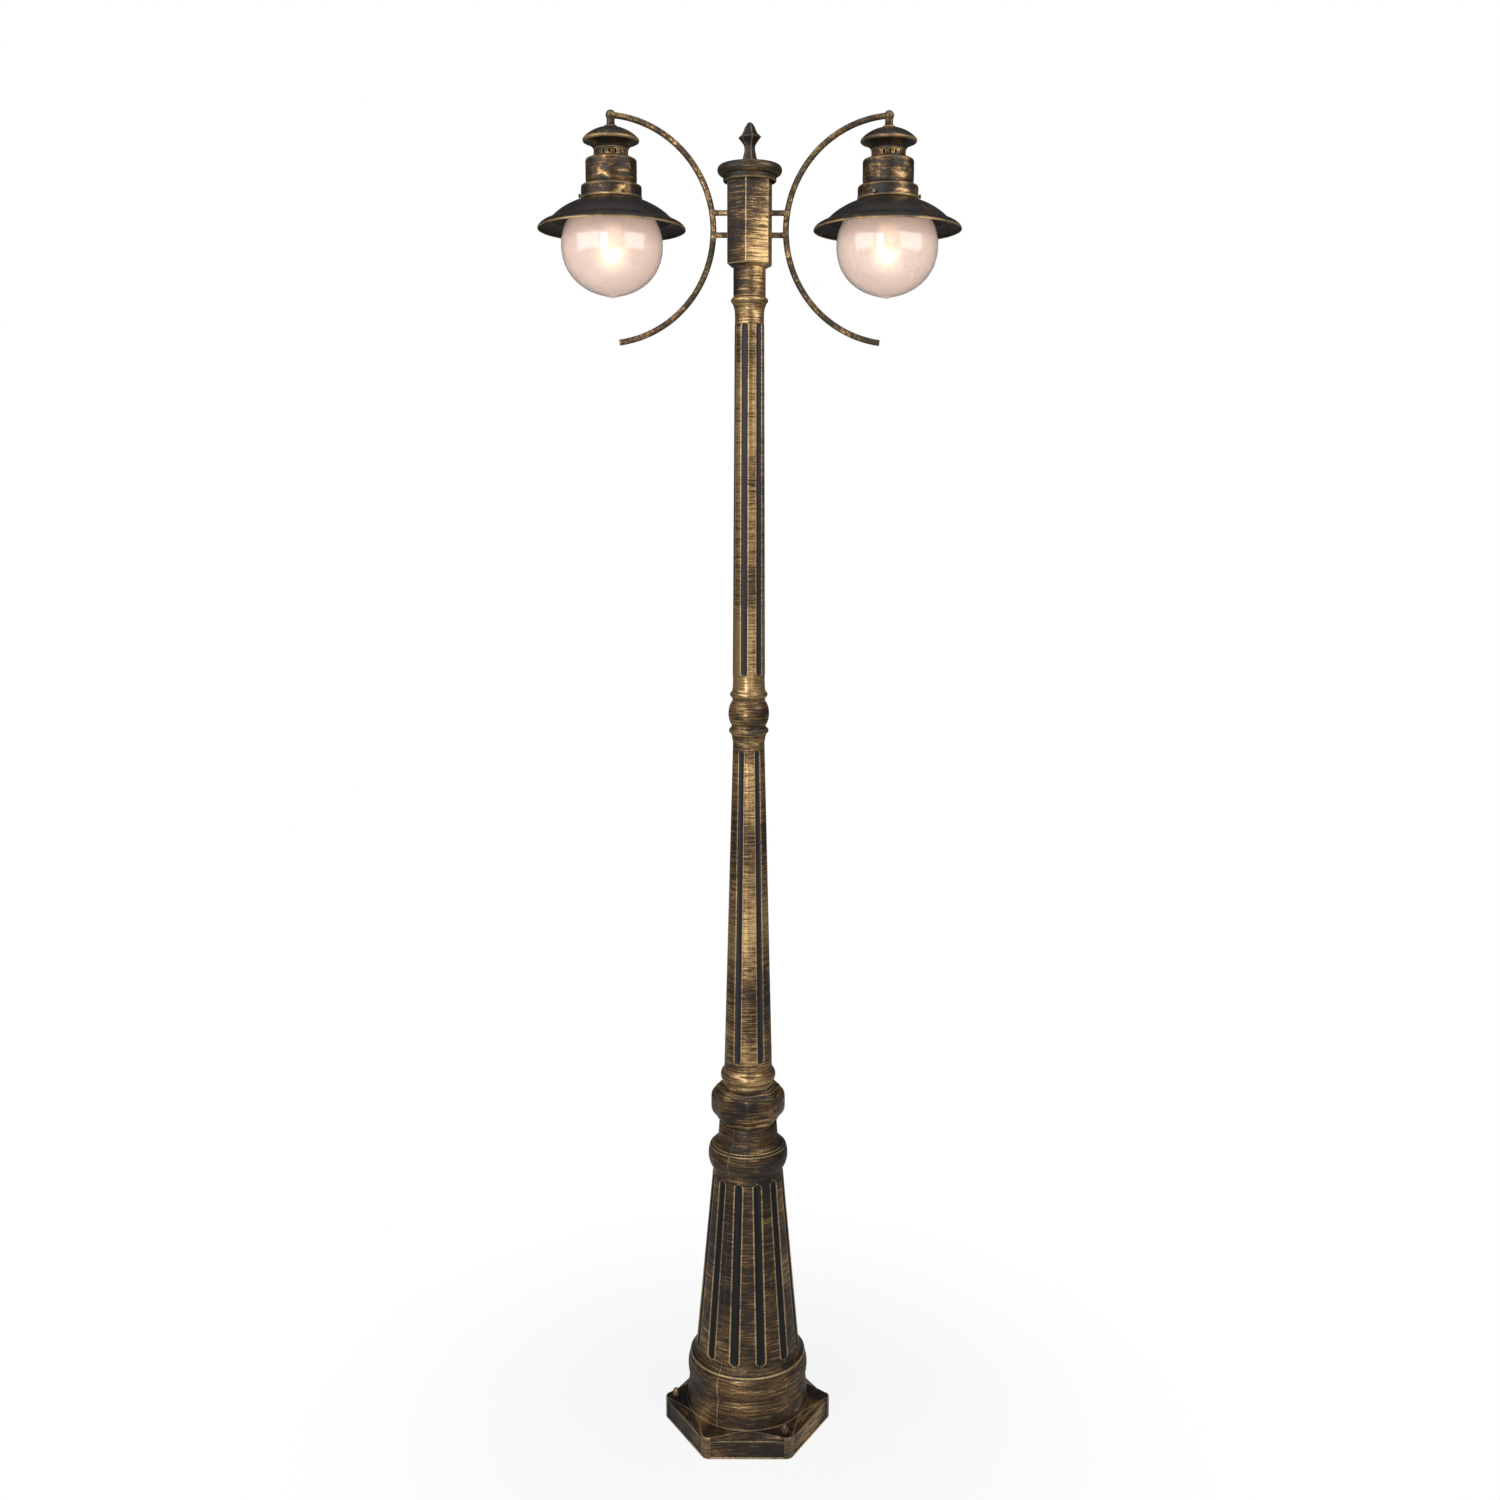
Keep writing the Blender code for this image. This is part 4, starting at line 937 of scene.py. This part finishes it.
def junction_box():
    wall = 3.0 / math.cos(math.radians(30))
    outer = [(BOX_CORNER, BOX_TOP), (BOX_CORNER, BOX_BOTTOM), (26.0, 2072.0)]
    inner = [(25.0, 2072.0), (25.0, 2081.0), (BOX_CORNER - wall, 2088.0),
             (BOX_CORNER - wall, BOX_TOP)]
    box = many_sided("box", eased(outer + inner), 6, 0.055, BOX_TURN)
    outline = [(24.0, 2083.0), (26.9, 2077.0), (26.9, SLEEVE_BOTTOM), (21.4, SLEEVE_BOTTOM),
               (21.4, 2083.0)]
    ways = []
    for angle in (50.0, 130.0):
        direction = Vector((math.cos(math.radians(angle)), math.sin(math.radians(angle)), 0))
        height = Vector((0, 0, 2049.0))
        ways.append(rod(direction * 10 + height, direction * 40 + height, 3.3))
    sleeve = bored(turned("sleeve", eased(outline)), joined("ways", ways))
    return joined("junction_box", [box, sleeve])


def round_cap():
    seat = 2214.2
    outer = [(4.6, 2242.5), (13.0, 2242.3), (30.0, 2239.8), (43.0, 2237.6)]
    outer += arc(45.8, 2228.4, 7.6, 8.3, 80, -64, 17)
    outer += [(46.2, 2220.4), (44.3, 2219.2), (43.8, CAP_BOTTOM)]
    inner = [(41.0, CAP_BOTTOM), (41.0, seat), (30.2, seat), (30.2, 2207.0), (27.4, 2207.0),
             (27.4, 2231.0), (12.0, 2237.5), (4.6, 2237.5)]
    return turned("round_cap", eased(outer + inner, 0.6))


def spear():
    """Six-sided spear finial, bored for its stud."""
    outer = [(0.0, 2304.0), (2.4, 2303.5), (4.6, 2302.0), (8.6, 2296.6), (11.0, 2290.8),
             (13.0, 2286.6), (19.2, 2281.2), (19.7, 2280.4), (19.2, 2279.6), (15.6, 2275.2),
             (11.6, 2270.2), (9.4, 2265.6), (9.2, 2260.0), (11.2, 2251.6), (12.9, 2245.0),
             (13.2, 2242.8)]
    inner = [(5.4, 2242.8), (5.4, 2269.0), (0.0, 2269.0)]
    return many_sided("spear", outer + inner, 6, 0.12, -16.0, closed=False)


def arm_place(side, angle, distance=ARM_RADIUS):
    turn = math.radians(angle)
    return Vector((side * (ARM_CENTRE[0] + distance * math.cos(turn)), 0.0,
                   ARM_CENTRE[1] + distance * math.sin(turn)))


def swept(name, stations):
    """A round tube through (point, direction, radius) stations that lie in the XZ plane."""
    rings = []
    for point, direction, radius in stations:
        normal = Vector((-direction.z, 0.0, direction.x)).normalized()
        ring = []
        for index in range(SMALL_STEPS):
            turn = 2 * math.pi * index / SMALL_STEPS
            ring.append(tuple(point + (normal * math.cos(turn) + Vector((0, math.sin(turn), 0)))
                              * radius))
        rings.append(ring)
    return shell(name, rings, closed=False)


def arm_tube(side):
    """Bowed tube with a plain cut lower end that shows its bore."""
    start, end = ARM_ANGLES
    stations = []

    def station(angle, radius):
        direction = arm_place(side, angle + 0.5) - arm_place(side, angle - 0.5)
        stations.append((arm_place(side, angle), direction, radius))

    station(start, 0.0)
    for index in range(ARM_STEPS):
        station(start + (end - 0.25 - start) * index / (ARM_STEPS - 1), ARM_TUBE)
    for angle, radius in ((end - 0.1, 4.92), (end, 4.6), (end, 4.1), (end - 0.1, ARM_BORE),
                          (end - 3.0, ARM_BORE), (end - 3.0, 0.0)):
        station(angle, radius)
    return swept("arm", stations)


def stay(side, height):
    """Short stay with a brazed fillet where it meets the arm."""
    crossing = math.pi - math.asin((height - ARM_CENTRE[1]) / ARM_RADIUS)
    end = ARM_CENTRE[0] + ARM_RADIUS * math.cos(crossing)
    across = Vector((side, 0, 0))
    marks = [(33.0, 0.0), (33.0, SPACER_RADIUS + 0.9), (35.6, SPACER_RADIUS + 0.9),
             (36.6, SPACER_RADIUS + 0.3), (38.0, SPACER_RADIUS), (end - 9.0, SPACER_RADIUS),
             (end - 6.6, SPACER_RADIUS + 0.15), (end - 4.6, SPACER_RADIUS + 0.5),
             (end - 2.4, 4.6), (end, 3.6), (end, 0.0)]
    stations = [(Vector((side * x, 0, height)), across, radius) for x, radius in marks]
    return swept("stay", stations)


def ball_fitting(side):
    outer = arc(0.0, BALL_HEIGHT, 8.2, 8.2, 90, -36, 15)
    outer += [(6.7, 2308.6), (6.5, 2307.0), (6.6, 2302.2), (7.0, 2300.4), (8.4, 2298.8),
              (10.4, 2298.0), (10.8, 2297.4), (10.8, 2296.3), (0.0, 2296.3)]
    return turned("ball_fitting", outer, SMALL_STEPS, closed=False, centre=side * LANTERN_X)


def hat(side):
    profile = [(5.5, 2296.0), (11.0, 2296.0)]
    profile += bezier((13.0, 2295.6), (27.0, 2292.0), (38.0, 2286.0), (45.2, 2278.0), 12)
    profile += [(46.2, 2276.6), (46.6, 2275.2), (46.3, 2273.6), (45.4, 2272.4)]
    profile += bezier((43.8, 2271.6), (36.0, 2269.4), (29.8, 2265.5), (28.6, 2260.0), 10)
    return turned("hat", walled(profile, 1.4), LANTERN_STEPS, centre=side * LANTERN_X)


def slot_block():
    """What one vent slot takes out of the neck."""
    bm = bmesh.new()
    matrix = Matrix.Diagonal((10.0 * MM, 4.2 * MM, 7.6 * MM, 1.0))
    bmesh.ops.create_cube(bm, size=1.0, matrix=matrix)
    lengthwise = [edge for edge in bm.edges if abs(edge.verts[0].co.x - edge.verts[1].co.x) > DOUBLE]
    bmesh.ops.bevel(bm, geom=lengthwise, offset=0.7 * MM, segments=2, affect="EDGES")
    bmesh.ops.translate(bm, verts=bm.verts, vec=(0, 0, 2253.6 * MM))
    mesh = bpy.data.meshes.new("slot_block")
    bm.to_mesh(mesh)
    bm.free()
    return mesh


def lamp_housing(side, tree, material):
    """Spun neck, drum and ring of a lantern, with vent slots round the neck."""
    profile = [(5.5, 2259.6), (27.4, 2259.6), (28.2, 2259.2), (28.4, 2258.4), (28.4, 2257.2)]
    profile += [(28.4, height) for height in (2256.0, 2254.0, 2252.0, 2250.4, 2249.4)]
    profile += [(28.7, 2248.6), (29.6, 2248.0), (38.0, 2246.4), (40.6, 2245.2), (41.9, 2243.4),
                (42.2, 2241.0), (42.2, 2238.0), (42.2, 2213.0), (41.9, 2210.6), (41.0, 2208.8),
                (41.4, 2207.4), (44.8, 2205.4), (48.6, 2203.4), (49.7, 2202.0), (50.0, 2200.2),
                (50.0, 2198.0), (50.0, 2188.6), (50.1, 2186.4), (50.8, 2184.9), (50.8, 2182.9),
                (50.0, 2181.8)]
    body = turned("housing", walled(profile, 1.5), LANTERN_STEPS, centre=side * LANTERN_X)
    slots = set_about(tree, "slots", slot_block(), VENT_SLOTS, 28.0, 10.0, material,
                      side * LANTERN_X)
    return bored(body, slots)


def shade(side):
    profile = [(47.0, 2197.0), (47.0, 2184.0), (47.6, 2182.2), (48.8, 2181.2), (51.5, 2180.4)]
    profile += bezier((53.0, 2179.8), (76.0, 2171.6), (92.0, 2160.0), (101.0, 2149.6), 22)
    profile += bezier((102.4, 2148.4), (111.0, 2146.4), (119.0, 2142.0), (121.9, 2136.6), 14)
    profile += [(122.3, 2135.6), (122.4, 2134.4), (122.1, 2133.5), (121.3, 2133.2)]
    return turned("shade", walled(profile, 1.3), WIDE_STEPS, centre=side * LANTERN_X)


def globe(side):
    """Onion-shaped globe with a plain neck and a small tip."""
    profile = [(44.0, 2196.0), (44.0, 2181.0), (44.3, 2179.0)]
    profile += bezier((45.4, 2176.6), (66.0, 2163.0), (81.0, 2145.0), (83.8, 2117.0), 24)
    profile += bezier((84.1, 2111.0), (84.6, 2067.0), (57.0, 2041.0), (24.0, 2031.2), 32)
    profile += [(18.0, 2029.6), (12.0, 2028.2), (7.0, 2027.0), (3.0, 2025.6), (0.0, 2024.6)]
    neck = [(radius - GLOBE_WALL, height) for radius, height in profile[:3]]
    thick = walled(profile, GLOBE_WALL)
    thick[-3:] = neck[::-1]
    return turned("globe", thick, WIDE_STEPS, centre=side * LANTERN_X)


def thumb_screw():
    """A knurled head on a short shank, lying along +X from the ring's face."""
    marks = [(-3.0, 0.0, 0.0), (-3.0, 2.0, 0.0), (0.4, 2.0, 0.0), (0.4, 3.2, 0.0),
             (0.8, 3.5, 0.25), (2.6, 3.5, 0.25), (3.1, 3.1, 0.0), (3.3, 2.2, 0.0), (3.4, 0.0, 0.0)]
    rings = []
    for distance, radius, knurl in marks:
        ring = []
        for index in range(KNURL_TURNS):
            turn = 2 * math.pi * index / KNURL_TURNS
            reach = radius - knurl * (index % 2)
            ring.append((distance, reach * math.cos(turn), SCREW_HEIGHT + reach * math.sin(turn)))
        rings.append(ring)
    return shell("thumb_screw", rings, closed=False)


def bulb(side):
    profile = bezier((13.4, 2142.6), (16.0, 2129.0), (26.0, 2119.0), (29.4, 2103.0), 16)
    profile += arc(0.0, BULB_HEIGHT, 30.0, 30.0, 10, -90, 20)
    return turned("bulb", walled(profile, 1.0), 48, centre=side * LANTERN_X)


def glowing_core(side):
    """The bulb's short upright coil of light."""
    profile = arc(0.0, 2093.0, 8.5, 10.0, 90, -90, 16)
    return turned("core", profile, 24, closed=False, centre=side * LANTERN_X)


def head_pieces(finishes, tree):
    put("six_sided_box", junction_box(), finishes["head"], "head", ["head_box"])
    put("round_cap", round_cap(), finishes["cap"], "cap", ["cap"])
    put("spear_finial", spear(), finishes["cap"], "finial", ["finial"])
    for word, side in (("left", -1), ("right", 1)):
        stays = [stay(side, height) for height in SPACER_HEIGHTS]
        put("bowed_arm_" + word, arm_tube(side), finishes["arm"], "head",
            ["arm_" + word])
        put("arm_stays_" + word, joined("arm_stays", stays), finishes["arm"], "head",
            ["upper_spacer_" + word, "lower_spacer_" + word])
        put("ball_fitting_" + word, ball_fitting(side), finishes["arm"], "head",
            ["stem_fitting_" + word])
        put("spun_hat_" + word, hat(side), finishes["hat"], "head", ["hat_" + word])
        put("vented_housing_" + word, lamp_housing(side, tree, finishes["drum"]), finishes["drum"],
            "head", ["lamp_body_" + word])
        put("spun_shade_" + word, shade(side), finishes["shade"], "head",
            ["shade_" + word])
        first = 0.0 if side > 0 else 180.0
        screws = set_about(tree, "thumb_screws", thumb_screw(), 3, SCREW_CIRCLE, first,
                           finishes["screw"], side * LANTERN_X)
        put("thumb_screws_" + word, screws, finishes["screw"], "head",
            ["globe_screw_{}_{}".format(word, index) for index in (1, 2, 3)])
        put("onion_globe_" + word, globe(side), finishes["globe"], "globe_" + word,
            ["globe_" + word])
        put("frosted_bulb_" + word, bulb(side), finishes["bulb"], "bulb_" + word,
            ["bulb_glass_" + word])
        put("glowing_core_" + word, glowing_core(side), finishes["glow"], "bulb_" + word)


# ---------------------------------------------------------------- carried-over parts

def finish_frame_nodes(nodes, finishes):
    """Gives every part that stays its own finish."""
    choices = (("stud", "steel"), ("nipple", "steel"), ("locknut", "steel"), ("plate", "steel"),
               ("bridge", "steel"), ("set_screw", "steel"), ("plug", "shade"),
               ("grommet", "rubber"), ("gasket", "rubber"), ("terminal", "plastic"),
               ("holder", "ceramic"), ("bulb_cap", "brass"))
    for name, node in nodes.items():
        for word, finish in choices:
            if word in name:
                for slot in node.material_slots:
                    slot.material = finishes[finish]


# ---------------------------------------------------------------- studio

def floor_finish():
    """Pale paper that runs out to plain white."""
    finish = Finish("pale_paper")
    grain = finish.noise((3.0, 3.0, 3.0), 3.0, 0.5)
    tone = finish.mixed(finish.band(grain, 0.3, 0.7), (0.90, 0.90, 0.90), (0.93, 0.93, 0.93))
    finish.set(Base_Color=tone, Roughness=0.9, Specular_IOR_Level=0.1)
    glow = finish.nodes.new("ShaderNodeEmission")
    glow.inputs["Color"].default_value = (1.0, 1.0, 1.0, 1.0)
    glow.inputs["Strength"].default_value = 1.0
    length = finish.nodes.new("ShaderNodeVectorMath")
    length.operation = "LENGTH"
    finish.links.new(finish.place, length.inputs[0])
    away = finish.band(length.outputs["Value"], 0.2, 0.9, 0.86, 1.0)
    path = finish.nodes.new("ShaderNodeLightPath")
    away = finish.reckon("MULTIPLY", away, path.outputs["Is Camera Ray"])
    mix = finish.nodes.new("ShaderNodeMixShader")
    finish.links.new(away, mix.inputs["Fac"])
    finish.links.new(finish.shader.outputs["BSDF"], mix.inputs[1])
    finish.links.new(glow.outputs["Emission"], mix.inputs[2])
    finish.links.new(mix.outputs["Shader"], finish.nodes["Material Output"].inputs["Surface"])
    return finish.material


def make_floor():
    mesh = bpy.data.meshes.new("floor")
    corners = [(x * FLOOR_REACH, y * FLOOR_REACH, 0) for x, y in ((-1, -1), (1, -1), (1, 1), (-1, 1))]
    mesh.from_pydata(corners, [], [(0, 1, 2, 3)])
    mesh.materials.append(floor_finish())
    floor = bpy.data.objects.new("floor", mesh)
    bpy.context.scene.collection.objects.link(floor)


def make_light(name, place, target, size, power):
    """A rectangular lamp that shines from place towards target, unseen by the camera."""
    light = bpy.data.lights.new(name, "AREA")
    light.shape = "RECTANGLE"
    light.size, light.size_y = size
    light.energy = power
    obj = bpy.data.objects.new(name, light)
    obj.location = place
    obj.rotation_euler = (Vector(target) - Vector(place)).to_track_quat("-Z", "Y").to_euler()
    obj.visible_camera = False
    bpy.context.scene.collection.objects.link(obj)


def make_world():
    """White for the eye and through glass, and dimmer for what it lights."""
    world = bpy.data.worlds.new("studio")
    bpy.context.scene.world = world
    world.use_nodes = True
    nodes = world.node_tree.nodes
    links = world.node_tree.links
    background = nodes["Background"]
    background.inputs["Color"].default_value = (1.0, 1.0, 1.0, 1.0)
    path = nodes.new("ShaderNodeLightPath")
    seen = nodes.new("ShaderNodeMath")
    seen.operation = "MAXIMUM"
    links.new(path.outputs["Is Camera Ray"], seen.inputs[0])
    links.new(path.outputs["Is Transmission Ray"], seen.inputs[1])
    strength = nodes.new("ShaderNodeMapRange")
    strength.inputs["To Min"].default_value = 0.10
    strength.inputs["To Max"].default_value = 1.0
    links.new(seen.outputs["Value"], strength.inputs["Value"])
    links.new(strength.outputs["Result"], background.inputs["Strength"])


def make_camera():
    camera = bpy.data.cameras.new("camera")
    camera.sensor_width = 36.0
    camera.lens = 36.36
    obj = bpy.data.objects.new("camera", camera)
    tilt = math.radians(CAMERA_TILT)
    look = Vector((CAMERA_TURN, math.cos(tilt), -math.sin(tilt)))
    roll = Matrix.Rotation(math.radians(CAMERA_ROLL), 4, "Z")
    aim = look.to_track_quat("-Z", "Y").to_matrix().to_4x4()
    obj.matrix_world = Matrix.Translation(CAMERA_PLACE) @ aim @ roll
    bpy.context.scene.collection.objects.link(obj)
    bpy.context.scene.camera = obj


def make_studio():
    make_floor()
    make_world()
    make_light("left_softbox", (-1.35, -0.95, 2.8), (0, 0, 2.1), (1.7, 2.2), 24)
    make_light("right_softbox", (1.35, -0.95, 2.8), (0, 0, 2.1), (1.7, 2.2), 24)
    make_light("front_softbox", (-0.9, -2.9, 1.6), (0, 0, 1.0), (0.7, 2.8), 30)
    make_light("low_fill", (0.9, -2.4, 0.9), (0, 0, 0.4), (0.9, 0.9), 5)
    make_light("overhead", (0.0, -0.3, 4.6), (0, 0, 0.0), (2.6, 2.6), 14)
    bpy.context.scene.view_settings.view_transform = "Standard"


def main():
    for obj in list(bpy.data.objects):
        bpy.data.objects.remove(obj, do_unlink=True)
    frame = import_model()
    finishes = make_finishes()
    tree = ring_tree()
    post_pieces(finishes, tree)
    head_pieces(finishes, tree)
    finish_frame_nodes(frame["nodes"], finishes)
    make_studio()
    make_camera()


main()
